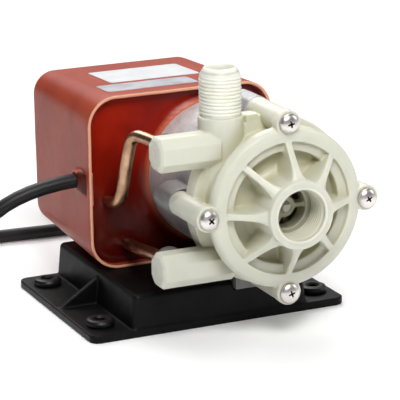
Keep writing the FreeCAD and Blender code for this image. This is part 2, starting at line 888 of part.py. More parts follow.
def make_rotor():
    """The squirrel-cage rotor, with a cast ring on each end."""
    return turned(
        "motor_rotor",
        [
            ("shaft_radius", "core_rear - 2"),
            ("9", "core_rear - 2"),
            ("9", "core_rear"),
            ("11.5", "core_rear"),
            ("11.5", "core_rear - 3.5"),
            ("rotor_radius - 1", "core_rear - 3.5"),
            ("rotor_radius - 1", "core_rear"),
            ("rotor_radius", "core_rear"),
            ("rotor_radius", "core_front"),
            ("rotor_radius - 1", "core_front"),
            ("rotor_radius - 1", "core_front + 3.5"),
            ("11.5", "core_front + 3.5"),
            ("11.5", "core_front"),
            ("9", "core_front"),
            ("9", "core_front + 2"),
            ("shaft_radius", "core_front + 2"),
        ],
    )


def make_core():
    """The shaded-pole lamination stack, round the rotor on the right and through the coil on the left."""
    owner = body("stator_laminations")
    outline = sketch(owner, "core_outline", z="core_front")
    rounded_box(outline, "-core_left", "core_right", "-core_half_height", "core_half_height", "1.5")
    pad(owner, "core", outline, "core_thick", reverse=True)
    window = sketch(owner, "window_outline", z="core_front")
    rounded_box(window, "-core_left + core_leg", "-core_left + core_leg + core_window",
                "-core_window_half", "core_window_half", "1")
    pocket(owner, "window", window, "core_thick")
    pocket(owner, "rotor_bore", disc_sketch(owner, "rotor_bore_outline", "core_bore", z="core_front"), "core_thick")
    # two shading slots, one in each pole
    slots = sketch(owner, "slot_outline", z="core_front")
    circle(slots, "shading_across", "core_bore - 0.6", "shading_wire + 0.05")
    circle(slots, "-shading_across", "-core_bore + 0.6", "shading_wire + 0.05")
    pocket(owner, "shading_slots", slots, "core_thick")
    return owner


def make_shading_rings():
    """Two copper bars through the shading slots."""
    owner = body("shading_rings")
    bars = sketch(owner, "bar_outline", z="core_front + shading_proud")
    circle(bars, "shading_across", "core_bore - 0.6", "shading_wire")
    circle(bars, "-shading_across", "-core_bore + 0.6", "shading_wire")
    pad(owner, "bars", bars, "core_thick + 2 * shading_proud", reverse=True)
    return owner


def make_coil():
    """The bobbin winding round the left leg of the core."""
    outer, clear = "coil_build", "0.1"
    owner = body("stator_coil")
    outline = sketch(owner, "coil_outline", "XZ_Plane", z="core_window_half - 1")
    rounded_box(outline, f"-core_left - {outer}", f"-core_left + core_leg + {outer}",
                f"core_rear - {outer}", f"core_front + {outer}", "4")
    pad(owner, "coil", outline, "2 * core_window_half - 2", reverse=True)
    hole = sketch(owner, "coil_hole_outline", "XZ_Plane", z="core_window_half - 1")
    rounded_box(hole, f"-core_left - {clear}", f"-core_left + core_leg + {clear}",
                f"core_rear - {clear}", f"core_front + {clear}", "0.5")
    pocket(owner, "coil_hole", hole, "2 * core_window_half - 2")
    return owner


def make_rear_cup():
    """The cup in the potting that holds the rear bearing."""
    return turned(
        "rear_bearing_cup",
        [
            ("bearing_outer", "-rear_cup_back + 2"),
            ("bearing_outer - 3", "-rear_cup_back + 2"),
            ("bearing_outer - 3", "-rear_cup_back"),
            ("rear_cup_radius - 0.1", "-rear_cup_back"),
            ("rear_cup_radius - 0.1", "-rear_cup_back + rear_cup_length"),
            ("bearing_outer", "-rear_cup_back + rear_cup_length"),
        ],
    )


# Pump head


def ears(owner, name, radius, start, length, reverse=False, hole="screw_hole"):
    """Four round ears on the screw circle, then the holes through them."""
    outline = disc_sketch(owner, name + "_outline", radius, z=start, x="screw_circle")
    first = pad(owner, name, outline, length, reverse=reverse)
    around(owner, name + "_set", first, "4")
    drill = disc_sketch(owner, name + "_hole_outline", hole, z=start, x="screw_circle")
    bore = pocket(owner, name + "_hole", drill, length, reverse=not reverse)
    around(owner, name + "_holes", bore, "4")


def make_can():
    """The rear casing: a flange that closes the volute and the thin can between the magnets."""
    owner = turned(
        "rear_casing",
        [
            ("0", "can_end"),
            ("can_outer - 2", "can_end"),
            ("can_outer", "can_end + 2"),
            ("can_outer", "bracket_face"),
            ("can_flange", "bracket_face"),
            ("can_flange", "volute_back"),
            ("seal_groove + seal_wire", "volute_back"),
            ("seal_groove + seal_wire", "volute_back - 2 * seal_wire + 0.3"),
            ("seal_groove - seal_wire", "volute_back - 2 * seal_wire + 0.3"),
            ("seal_groove - seal_wire", "volute_back"),
            ("can_bore", "volute_back"),
            ("can_bore", "can_end + can_floor"),
            ("washer_radius", "can_end + can_floor"),
            ("washer_radius", "rear_washer"),
            ("spindle_radius", "rear_washer"),
            ("spindle_radius", "can_end + can_floor"),
            ("0", "can_end + can_floor"),
        ],
    )
    ears(owner, "ear", "boss_radius", "bracket_face", "rear_flange")
    return owner


def make_seal_ring(name, back):
    """A rubber ring pressed to a near-square section in its groove."""
    near, far = "seal_groove - seal_wire + 0.25", "seal_groove + seal_wire - 0.25"
    front = f"{back} + 2 * seal_wire - 0.3"
    return turned(
        name,
        [
            (near, f"{back} + 0.6"),
            (f"{near} + 0.6", back),
            (f"{far} - 0.6", back),
            (far, f"{back} + 0.6"),
            (far, f"{front} - 0.6"),
            (f"{far} - 0.6", front),
            (f"{near} + 0.6", front),
            (near, f"{front} - 0.6"),
        ],
    )


def make_volute():
    """The middle casing: volute wall, rear flange, discharge spigot, two port stubs and the screw bosses."""
    owner = turned(
        "volute_casing",
        [
            ("volute_bore - 2", "volute_back"),
            ("casing_flange", "volute_back"),
            ("casing_flange", "volute_back + casing_flange_depth"),
            ("volute_body", "volute_back + casing_flange_depth + 1.5"),
            ("volute_body", "joint_face"),
            ("volute_bore - 2", "joint_face"),
        ],
    )
    boss = disc_sketch(owner, "boss_outline", "boss_radius", z="volute_back", x="screw_circle")
    first = pad(owner, "boss", boss, "volute_depth")
    around(owner, "bosses", first, "4")
    # the two port stubs
    half_h, half_d, bevel = "stub_height / 2", "stub_depth / 2", "stub_bevel"
    for name, height in (("high_stub", "stub_high"), ("low_stub", "-stub_low")):
        bar = sketch(owner, name + "_outline", "YZ_Plane", z="-stub_end")
        corners = []
        for u, v in ((1, "f"), (1, "b"), (-1, "b"), (-1, "f")):
            sign = "" if u > 0 else "-"
            inner_y = f"{height} {'+' if u > 0 else '-'} ({half_h} - {bevel})"
            outer_y = f"{height} {'+' if u > 0 else '-'} {half_h}"
            edge = "+" if v == "f" else "-"
            outer_z, inner_z = f"stub_middle {edge} {half_d}", f"stub_middle {edge} ({half_d} - {bevel})"
            pair = [(inner_y, outer_z), (outer_y, inner_z)]
            corners += pair if (u > 0) == (v == "f") else pair[::-1]
        polygon(bar, corners)
        pad(owner, name, bar, f"stub_end - {name}_root")
    # the raised lug beside the spigot
    lug = rounded_box(sketch(owner, "lug_outline", z="volute_back + 2"), "-14", "-7", "30", "45.5", "1")
    pad(owner, "lug", lug, "8")
    # the discharge spigot, turned on its own axis
    spigot = sketch(owner, "spigot_outline", "XY_Plane", x="-spigot_left", z="spigot_forward")
    lead = "spigot_top - spigot_lead"
    polygon(
        spigot,
        [
            ("0", "6"),
            ("spigot_radius", "6"),
            ("spigot_radius", "spigot_collar"),
            ("spigot_thread", "spigot_collar"),
            ("spigot_thread", lead),
            ("spigot_mouth", "spigot_top"),
            ("0", "spigot_top"),
        ],
    )
    spin(owner, "spigot", spigot)
    # room for the rear casing and the cover, then the water ways
    trim = disc_sketch(owner, "rear_trim_outline", "casing_flange + 1", z="volute_back")
    pocket(owner, "rear_trim", trim, "14")
    pocket(owner, "volute_bore_cut", disc_sketch(owner, "bore_outline", "volute_bore", z="joint_face"), "volute_depth")
    outlet = sketch(owner, "outlet_outline", "XY_Plane", x="-spigot_left", z="spigot_forward")
    polygon(
        outlet,
        [
            ("0", "0"),
            ("outlet_bore", "0"),
            ("outlet_bore", "spigot_collar - 3"),
            ("spigot_bore", "spigot_collar + 1"),
            ("spigot_bore", "spigot_top + 1"),
            ("0", "spigot_top + 1"),
        ],
    )
    spin(owner, "outlet", outlet, cut=True)
    for name, height, inner, toward in (
        ("high", "stub_high", "spigot_left + 2", "-"),
        ("low", "-stub_low", "14", "+"),
    ):
        channel = sketch(owner, name + "_channel_outline", "YZ_Plane", z="-tube_port_x")
        circle(channel, f"{height} {toward} channel_shift", "stub_middle", "stub_channel")
        pocket(owner, name + "_channel", channel, f"tube_port_x - ({inner})", reverse=True)
        socket = disc_sketch(owner, name + "_socket_outline", "tube_radius + tube_clear", z="stub_back",
                             x="-tube_port_x", y=height)
        pocket(owner, name + "_socket", socket, "stub_depth / 2 + 1", reverse=True)
        gate = sketch(owner, name + "_gate_outline", "YZ_Plane", z="-stub_end")
        circle(gate, height, "stub_middle", "gate_radius")
        pocket(owner, name + "_gate", gate, "gate_depth", reverse=True)
    drill = disc_sketch(owner, "boss_hole_outline", "screw_hole", z="joint_face", x="screw_circle")
    bore = pocket(owner, "boss_hole", drill, "volute_depth")
    around(owner, "boss_holes", bore, "4")
    end = value("-stub_end")
    round_edges(owner, "stub_end_bevels", "1.6", lambda e: abs(e.CenterOfMass.x - end) < 0.01
                and e.Curve.TypeId == "Part::GeomLine", kind="Chamfer")
    return owner


def make_cover():
    """The front casing: ring, dished floor, inlet hub with its ribs, and the spider that steadies the spindle."""
    dish = "cover_face - dish_depth"
    owner = turned(
        "front_cover",
        [
            ("inlet_throat", "inner_face"),
            ("volute_bore - 0.15", "inner_face"),
            ("volute_bore - 0.15", "joint_face"),
            ("seal_groove - seal_wire", "joint_face"),
            ("seal_groove - seal_wire", "joint_face + 2 * seal_wire - 0.3"),
            ("seal_groove + seal_wire", "joint_face + 2 * seal_wire - 0.3"),
            ("seal_groove + seal_wire", "joint_face"),
            ("head_radius", "joint_face"),
            ("head_radius", "cover_face - shoulder"),
            ("head_radius - shoulder * 0.1", "cover_face - shoulder * 0.56"),
            ("head_radius - shoulder * 0.38", "cover_face - shoulder * 0.2"),
            ("head_radius - shoulder", "cover_face"),
            ("ring_inner", "cover_face"),
            ("ring_inner", "cover_face - ledge_drop"),
            ("ledge_radius", "cover_face - ledge_drop"),
            ("ledge_radius", dish),
            ("hub_radius", dish),
            ("hub_radius", "hub_face"),
            ("inlet_thread + inlet_chamfer", "hub_face"),
            ("inlet_thread", "hub_face - inlet_chamfer"),
            ("inlet_thread", "hub_face - inlet_thread_depth"),
            ("inlet_throat", "hub_face - inlet_thread_depth"),
        ],
    )
    rib = sketch(owner, "rib_outline", "XZ_Plane")
    polygon(
        rib,
        [
            ("hub_radius - 1", f"{dish} - 1"),
            ("hub_radius - 1", "hub_face - rib_drop"),
            ("ring_inner + 0.5", "cover_face - 0.4"),
            ("ring_inner + 0.5", "cover_face - ledge_drop - 0.5"),
            ("ledge_radius + 0.5", "cover_face - ledge_drop - 0.5"),
            ("ledge_radius + 0.5", f"{dish} - 1"),
        ],
    )
    first = pad(owner, "rib", rib, "rib_thick", middle=True)
    around(owner, "ribs", first, "rib_count")
    ears(owner, "ear", "ear_radius", "joint_face", "cover_thick")
    spider = disc_sketch(owner, "spider_outline", "spider_ring", z="spider_back")
    pad(owner, "spider_hub", spider, "spider_depth")
    arm = sketch(owner, "arm_outline", "XY_Plane", z="spider_back")
    polygon(arm, [("3", "-spider_arm / 2"), ("inlet_throat + 0.6", "-spider_arm / 2"),
                  ("inlet_throat + 0.6", "spider_arm / 2"), ("3", "spider_arm / 2")])
    spoke = pad(owner, "arm", arm, "spider_depth")
    around(owner, "arms", spoke, "spider_count")
    seat = disc_sketch(owner, "spindle_seat_outline", "spindle_bore", z="spider_back")
    pocket(owner, "spindle_seat", seat, "spider_depth", reverse=True)
    return owner


def make_impeller():
    """The impeller with the pocket for its magnet, open to the rear."""
    disc_top = "disc_back + impeller_disc"
    owner = turned(
        "impeller",
        [
            ("spindle_bore + bushing_wall", "wet_back"),
            ("magnet_core", "wet_back"),
            ("magnet_core", "wet_back + magnet_cap + wet_magnet_length"),
            ("wet_magnet_radius - magnet_skin", "wet_back + magnet_cap + wet_magnet_length"),
            ("wet_magnet_radius - magnet_skin", "wet_back"),
            ("wet_magnet_radius", "wet_back"),
            ("wet_magnet_radius", "disc_back"),
            ("impeller_radius", "disc_back"),
            ("impeller_radius", disc_top),
            ("9", disc_top),
            ("7", f"{disc_top} + 3"),
            ("6.4", "wet_front - 1"),
            ("5.4", "wet_front"),
            ("spindle_bore + bushing_wall", "wet_front"),
        ],
    )
    vane = sketch(owner, "vane_outline", "XY_Plane", z=disc_top)
    polygon(vane, [("8", "-1.4"), ("17", "-3.2"), ("25", "-8.4"), ("25", "-8.4 + vane_thick * 1.2"),
                   ("17.5", "-3.2 + vane_thick * 1.1"), ("8", "-1.4 + vane_thick")])
    blade = pad(owner, "vane", vane, "vane_height")
    around(owner, "vanes", blade, "vane_count")
    return owner


def make_wet_magnet():
    start = "wet_back + magnet_cap"
    end = f"{start} + wet_magnet_length"
    outer = "wet_magnet_radius - magnet_skin"
    return turned("impeller_magnet", [("magnet_core", start), (outer, start), (outer, end), ("magnet_core", end)])


def make_magnet_cap():
    outer = "wet_magnet_radius - magnet_skin"
    end = "wet_back + magnet_cap"
    return turned("impeller_magnet_cap", [("magnet_core", "wet_back"), (outer, "wet_back"), (outer, end),
                                          ("magnet_core", end)])


def make_bushing():
    outer = "spindle_bore + bushing_wall"
    return turned("impeller_bushing", [("spindle_bore", "wet_back"), (outer, "wet_back"), (outer, "wet_front"),
                                       ("spindle_bore", "wet_front")])


def make_spindle():
    """The fixed ceramic spindle, with a flat on its front end."""
    owner = turned(
        "ceramic_spindle",
        [
            ("0", "spindle_back"),
            ("spindle_radius", "spindle_back"),
            ("spindle_radius", "spindle_front - 0.5"),
            ("spindle_radius - 0.5", "spindle_front"),
            ("0", "spindle_front"),
        ],
    )
    flat = rounded_box(sketch(owner, "flat_outline", z="spindle_front"), "-4", "4", "spindle_radius - 0.9", "4", "0.5")
    pocket(owner, "flat", flat, "spindle_tip")
    return owner


def make_washer(name, start):
    end = f"{start} + washer_thick"
    return turned(name, [("spindle_bore", start), ("washer_radius", start), ("washer_radius", end),
                         ("spindle_bore", end)])


def make_cover_screws():
    """Four domed cross-recess screws through the head into the bracket, as separate solids."""
    owner = turned_screw()
    doc.recompute()
    single = owner.Shape.copy()
    single.Placement = Placement()
    copies = []
    for i in range(4):
        one = single.copy()
        turn = Placement(Vector(), Rotation(Vector(0, 0, 1), 90 * i))
        one.Placement = turn.multiply(Placement(Vector(value("screw_circle"), 0, value("cover_face")), Rotation()))
        copies.append(one)
    return shape_node("cover_screws", Part.makeCompound(copies))


def turned_screw():
    """One screw with its seat at the origin and its head forward."""
    owner = doc.addObject("PartDesign::Body", "screw_pattern")
    reach = "cover_face - bracket_face + screw_bite"
    outline = sketch(owner, "screw_outline", "XZ_Plane")
    polygon(
        outline,
        [
            ("0", f"-({reach})"),
            ("screw_radius - 0.6", f"-({reach})"),
            ("screw_radius", f"-({reach}) + 0.8"),
            ("screw_radius", "0"),
            ("screw_head", "0"),
            ("screw_head", "screw_head_high * 0.3"),
            ("screw_head * 0.9", "screw_head_high * 0.62"),
            ("screw_head * 0.68", "screw_head_high * 0.86"),
            ("screw_head * 0.35", "screw_head_high"),
            ("0", "screw_head_high"),
        ],
    )
    spin(owner, "screw", outline)
    cross = sketch(owner, "cross_outline", "XY_Plane", z="screw_head_high")
    long, thin = "screw_head * 0.56", "0.55"
    polygon(
        cross,
        [
            (f"-({long})", f"-{thin}"), (f"-{thin}", f"-{thin}"), (f"-{thin}", f"-({long})"),
            (thin, f"-({long})"), (thin, f"-{thin}"), (long, f"-{thin}"), (long, thin), (thin, thin),
            (thin, long), (f"-{thin}", long), (f"-{thin}", thin), (f"-({long})", thin),
        ],
    )
    pocket(owner, "cross", cross, "screw_recess")
    return owner


# Labels, cord and plug


def rounded_plate(width, length, thick, corner):
    """A flat plate with round corners, centred on the origin, lying on its lower face."""
    w, l, t, c = (value(v) for v in (width, length, thick, corner))
    plate = Part.makeBox(w, l, t, Vector(-w / 2, -l / 2, 0))
    upright = [e for e in plate.Edges if abs(e.tangentAt(e.FirstParameter).z) > 0.9]
    return plate.makeFillet(c, upright)


def make_label(name):
    """A bare label on the shell's drafted top."""
    x, y = f"{name}_x", f"{name}_y"
    slope = math.degrees(math.atan2(value("shell_draft"), value("shell_depth")))
    plate = rounded_plate("label_width", f"{name}_length", "label_thick", "label_corner")
    made = doc.addObject("Part::Feature", name + "_form")
    made.Label = name
    made.Shape = plate
    drop = value(f"shell_draft * ({y} + shell_front) / shell_depth")
    top = value("block_height + shell_height") - drop
    made.Placement = Placement(Vector(value(x), value(y), top), Rotation(Vector(1, 0, 0), -slope))
    return made


def coil_centre():
    return Vector(value("coil_x"), value("coil_y"), 0)


def cord_points():
    """The cord's route in the row frame: out of the wall, down to the floor and back to the coil."""
    r, wall = value("cord_radius"), value("-shell_width / 2")
    y, z = value("cord_exit_back"), value("cord_exit_high")
    coil = coil_centre()
    return [
        Vector(wall + 9, y, z),
        Vector(wall - 35, y, z),
        Vector(wall - 66, y + 6, z - 34),
        Vector(wall - 70, y + 40, r),
        Vector(wall - 60, y + 90, r),
        Vector(wall - 25, y + 130, r),
        Vector(wall + 32, coil.y - value("coil_middle") + 2, r),
        Vector(coil.x - 22, coil.y - value("coil_middle") + 2, r),
    ]


def radii_of(points):
    """Bend radii of a route whose arcs take 0.45 of the shorter run."""
    found = []
    for before, here, after in zip(points, points[1:], points[2:]):
        inward, outward = (before - here).normalize(), (after - here).normalize()
        turn = math.pi - inward.getAngle(outward)
        found.append(0.45 * min((before - here).Length, (after - here).Length) / math.tan(turn / 2))
    return found


def make_cord():
    points = cord_points()
    print("cord bends", [round(r) for r in radii_of(points)])
    return shape_node("power_cord", tube_solid(bent_path(points, 1000.0), value("cord_radius")), "row")


def make_cord_coil():
    """The rest of the cord, wound and lying on the floor: the outer shape of the bundle."""
    r, mean = value("cord_radius"), value("coil_middle")
    build = value("coil_width / 2")
    high = value("coil_high")
    bevel = 2.4
    corners = [
        (mean - build + bevel, 0.0), (mean + build - bevel, 0.0), (mean + build, bevel), (mean + build, high - bevel),
        (mean + build - bevel, high), (mean - build + bevel, high), (mean - build, high - bevel), (mean - build, bevel),
    ]
    face = Part.Face(Part.makePolygon([Vector(x, 0, z) for x, z in corners + corners[:1]]))
    ring = face.revolve(Vector(), Vector(0, 0, 1), 360)
    made = shape_node("cord_coil", ring, "row")
    made.Placement = Placement(coil_centre(), Rotation())
    return made


def make_plug():
    """A moulded plug with a short tail that runs back to the coil."""
    body_long, half = value("plug_length"), value("plug_width / 2")
    tall = value("plug_height")
    block = Part.makeBox(body_long, 2 * half, tall, Vector(0, -half, 0))
    block = block.makeFillet(3.0, [e for e in block.Edges if abs(e.tangentAt(e.FirstParameter).x) > 0.9])
    nose = [e for e in block.Edges if abs(e.CenterOfMass.x) < 0.01]
    block = block.makeChamfer(2.0, nose)
    tail = Part.makeCone(value("cord_radius"), value("cord_radius + 1.8"), 14, Vector(-12, 0, tall / 2), Vector(1, 0, 0))
    stem = Part.makeCylinder(value("cord_radius"), 20, Vector(-30, 0, tall / 2), Vector(1, 0, 0))
    solid = block.fuse([tail, stem]).removeSplitter()
    start = coil_centre() + Vector(value("coil_middle + plug_offset"), 44, 0)
    place = Placement(start, Rotation(Vector(0, 0, 1), 90))
    made = shape_node("power_plug", solid, "row")
    made.Placement = place
    blades = []
    for side in (-1, 1):
        blade = Part.makeBox(17, 1.5, 6.3, Vector(body_long - 1, side * 6.35 - 0.75, tall / 2 - 1))
        blades.append(blade)
    blades.append(Part.makeCylinder(2.4, 20, Vector(body_long - 1, 0, tall / 2 - 6), Vector(1, 0, 0)))
    pins = shape_node("plug_pins", Part.makeCompound(blades), "row")
    pins.Placement = place
    sockets = Part.makeCompound([b.copy() for b in blades])
    made.Shape = solid.cut(sockets)
    made.Placement = place
    return [made, pins]


def make_cord_boss(shell):
    """The moulded boss that guides the cord out of the left wall, ending on the wall's drafted face."""
    wall = value("-shell_width / 2")
    y, z = value("cord_exit_back"), value("cord_exit_high")
    start = Vector(wall - value("boot_proud"), y, z)
    length = value("boot_proud") + 1.4
    ring = Part.makeCone(value("boot_radius") - 0.6, value("boot_radius"), length, start, Vector(1, 0, 0))
    hole = Part.makeCylinder(value("cord_radius + 0.15"), length + 2, start - Vector(1, 0, 0), Vector(1, 0, 0))
    doc.recompute()
    return shape_node("cord_boss", ring.cut([hole, shell.Shape]), "row")


def all_parts():
    made = [make_foot()]
    made += make_grommets()
    shell = make_shell()
    made += [shell, make_potting(), make_cord_boss(shell)]
    made += [make_core(), make_shading_rings(), make_coil(), make_rear_cup(), make_rotor(), make_shaft()]
    made += make_bearing("front_bearing", "potting_face - bracket_root + 0.5")
    made += make_bearing("rear_bearing", "-rear_cup_back + 2")
    made += [make_bracket(), make_drive_cup(), make_drive_magnet(), make_set_screw()]
    made += [make_can(), make_seal_ring("rear_seal_ring", "volute_back - 2 * seal_wire + 0.3"), make_volute()]
    made += [make_seal_ring("cover_seal_ring", "joint_face"), make_cover()]
    made += [make_impeller(), make_wet_magnet(), make_magnet_cap(), make_bushing(), make_spindle()]
    made += [make_washer("rear_thrust_washer", "rear_washer"), make_washer("front_thrust_washer", "washer_seat")]
    made += [make_cover_screws(), make_cooling_tube()] + make_port_seals()
    made += [make_label("front_label"), make_label("rear_label")]
    made += [make_cord(), make_cord_coil()] + make_plug()
    return made


def main():
    parts = all_parts()
    doc.recompute()
    for item in doc.Objects:
        bad = {"Invalid", "Error"} & set(item.State)
        if bad:
            raise ValueError(f"{item.Label}: {bad}")
    os.makedirs("parts", exist_ok=True)
    for item in parts:
        shape = item.Shape
        if shape.isNull() or not shape.isValid():
            raise ValueError(f"{item.Label}: bad shape")
        shape.exportStep(f"parts/{item.Label}.step")
        box = shape.BoundBox
        spans = [round(v, 1) for v in (box.XMin, box.XMax, box.YMin, box.YMax, box.ZMin, box.ZMax)]
        print(item.Label, spans, "solids", len(shape.Solids))
    print(len(parts), "parts")


main()
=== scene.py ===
import json
import math

import bmesh
import bpy
from mathutils import Matrix, Vector, noise


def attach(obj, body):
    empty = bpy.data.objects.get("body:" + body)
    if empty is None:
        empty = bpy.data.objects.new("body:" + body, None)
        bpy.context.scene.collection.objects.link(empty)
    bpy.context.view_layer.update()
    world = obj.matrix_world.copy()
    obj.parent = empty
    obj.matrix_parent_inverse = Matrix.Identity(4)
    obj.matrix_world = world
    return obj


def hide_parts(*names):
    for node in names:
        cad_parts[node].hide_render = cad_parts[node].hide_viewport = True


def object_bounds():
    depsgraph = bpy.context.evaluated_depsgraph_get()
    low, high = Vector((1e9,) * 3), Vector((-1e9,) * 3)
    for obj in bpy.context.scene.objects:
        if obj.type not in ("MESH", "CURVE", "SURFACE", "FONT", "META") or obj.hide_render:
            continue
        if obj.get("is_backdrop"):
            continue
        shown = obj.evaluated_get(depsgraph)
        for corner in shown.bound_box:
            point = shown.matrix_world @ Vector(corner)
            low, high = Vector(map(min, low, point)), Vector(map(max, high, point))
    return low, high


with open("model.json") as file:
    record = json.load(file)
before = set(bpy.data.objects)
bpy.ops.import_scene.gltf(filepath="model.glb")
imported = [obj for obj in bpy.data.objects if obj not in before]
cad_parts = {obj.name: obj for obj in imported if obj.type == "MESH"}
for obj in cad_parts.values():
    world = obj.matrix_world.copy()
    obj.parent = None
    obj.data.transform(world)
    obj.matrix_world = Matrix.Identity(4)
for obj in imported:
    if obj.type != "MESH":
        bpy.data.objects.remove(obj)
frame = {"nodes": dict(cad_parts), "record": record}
cadBox = [list(c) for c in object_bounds()]
scene = bpy.context.scene
nodes = frame["nodes"]
slotOf = {s["node"]: s["material_slot"] for s in frame["record"]["subparts"]}
mm = 0.001
print("frame loaded:", len(nodes), "nodes")

# the photograph's own view: camera place in the row frame, lens from the fit
viewSet = {
    "place": (-0.44814, -1.02326, 0.36735),
    "yaw": -24.22,
    "pitch": -15.73,
    "roll": -0.9,
    "lens": 196.5,
    "shiftX": 0.00425,
    "sensor": 36,
    "clip": (0.02, 20),
}


def makeCamera():
    yaw, pitch, roll = (math.radians(viewSet[k]) for k in ("yaw", "pitch", "roll"))
    ahead = Vector((-math.sin(yaw) * math.cos(pitch), math.cos(yaw) * math.cos(pitch), math.sin(pitch)))
    right = Vector((math.cos(yaw), math.sin(yaw), 0))
    up = right.cross(ahead)
    tiltedRight = math.cos(roll) * right + math.sin(roll) * up
    tiltedUp = -math.sin(roll) * right + math.cos(roll) * up
    data = bpy.data.cameras.new("photoView")
    data.lens = viewSet["lens"]
    data.sensor_width = viewSet["sensor"]
    data.shift_x = viewSet["shiftX"]
    data.clip_start, data.clip_end = viewSet["clip"]
    cam = bpy.data.objects.new("photoView", data)
    scene.collection.objects.link(cam)
    turn = Matrix((tiltedRight, tiltedUp, -ahead)).transposed()
    cam.matrix_world = Matrix.Translation(viewSet["place"]) @ turn.to_4x4()
    scene.camera = cam


makeCamera()

# lights, floor and world
studio = {
    "worldGrey": 1.0,
    "worldPower": 0.065,
    "floorSize": 6,
    "floorTone": 0.96,
    "floorRough": 0.9,
    "floorGlow": 0.09,
    # name: place, target, size, power
    "lamps": {
        "keySoftbox": ((-0.12, -0.50, 0.58), (0.02, -0.05, 0.09), (0.32, 0.28), 3.8),
        "rightSoftbox": ((0.80, -0.25, 0.50), (0.02, -0.02, 0.08), (0.5, 0.5), 2.0),
        "topSoftbox": ((-0.05, 0.22, 0.95), (0.0, 0.15, 0.0), (0.6, 0.7), 3.0),
        "backSoftbox": ((0.3, 1.7, 1.5), (0.2, 1.2, 0.0), (1.8, 1.2), 36.0),
    },
}


def makeStudio():
    world = bpy.data.worlds.new("paleStudio")
    scene.world = world
    world.use_nodes = True
    back = world.node_tree.nodes["Background"]
    g = studio["worldGrey"]
    back.inputs[0].default_value = (g, g, g, 1)
    back.inputs[1].default_value = studio["worldPower"]
    for name, (place, target, size, power) in studio["lamps"].items():
        data = bpy.data.lights.new(name, "AREA")
        data.shape = "RECTANGLE"
        data.size, data.size_y = size
        data.energy = power
        lamp = bpy.data.objects.new(name, data)
        scene.collection.objects.link(lamp)
        aim = (Vector(target) - Vector(place)).to_track_quat("-Z", "Y")
        lamp.matrix_world = Matrix.Translation(place) @ aim.to_matrix().to_4x4()
    bpy.ops.mesh.primitive_plane_add(size=studio["floorSize"], location=(0, 0, 0))
    floor = bpy.context.object
    floor.name = "paleFloor"
    floor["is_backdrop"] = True
    return floor


floor = makeStudio()
scene.view_settings.view_transform = "Standard"
print("camera and studio ready")

# material making: one node tree per finish, built from noise layers


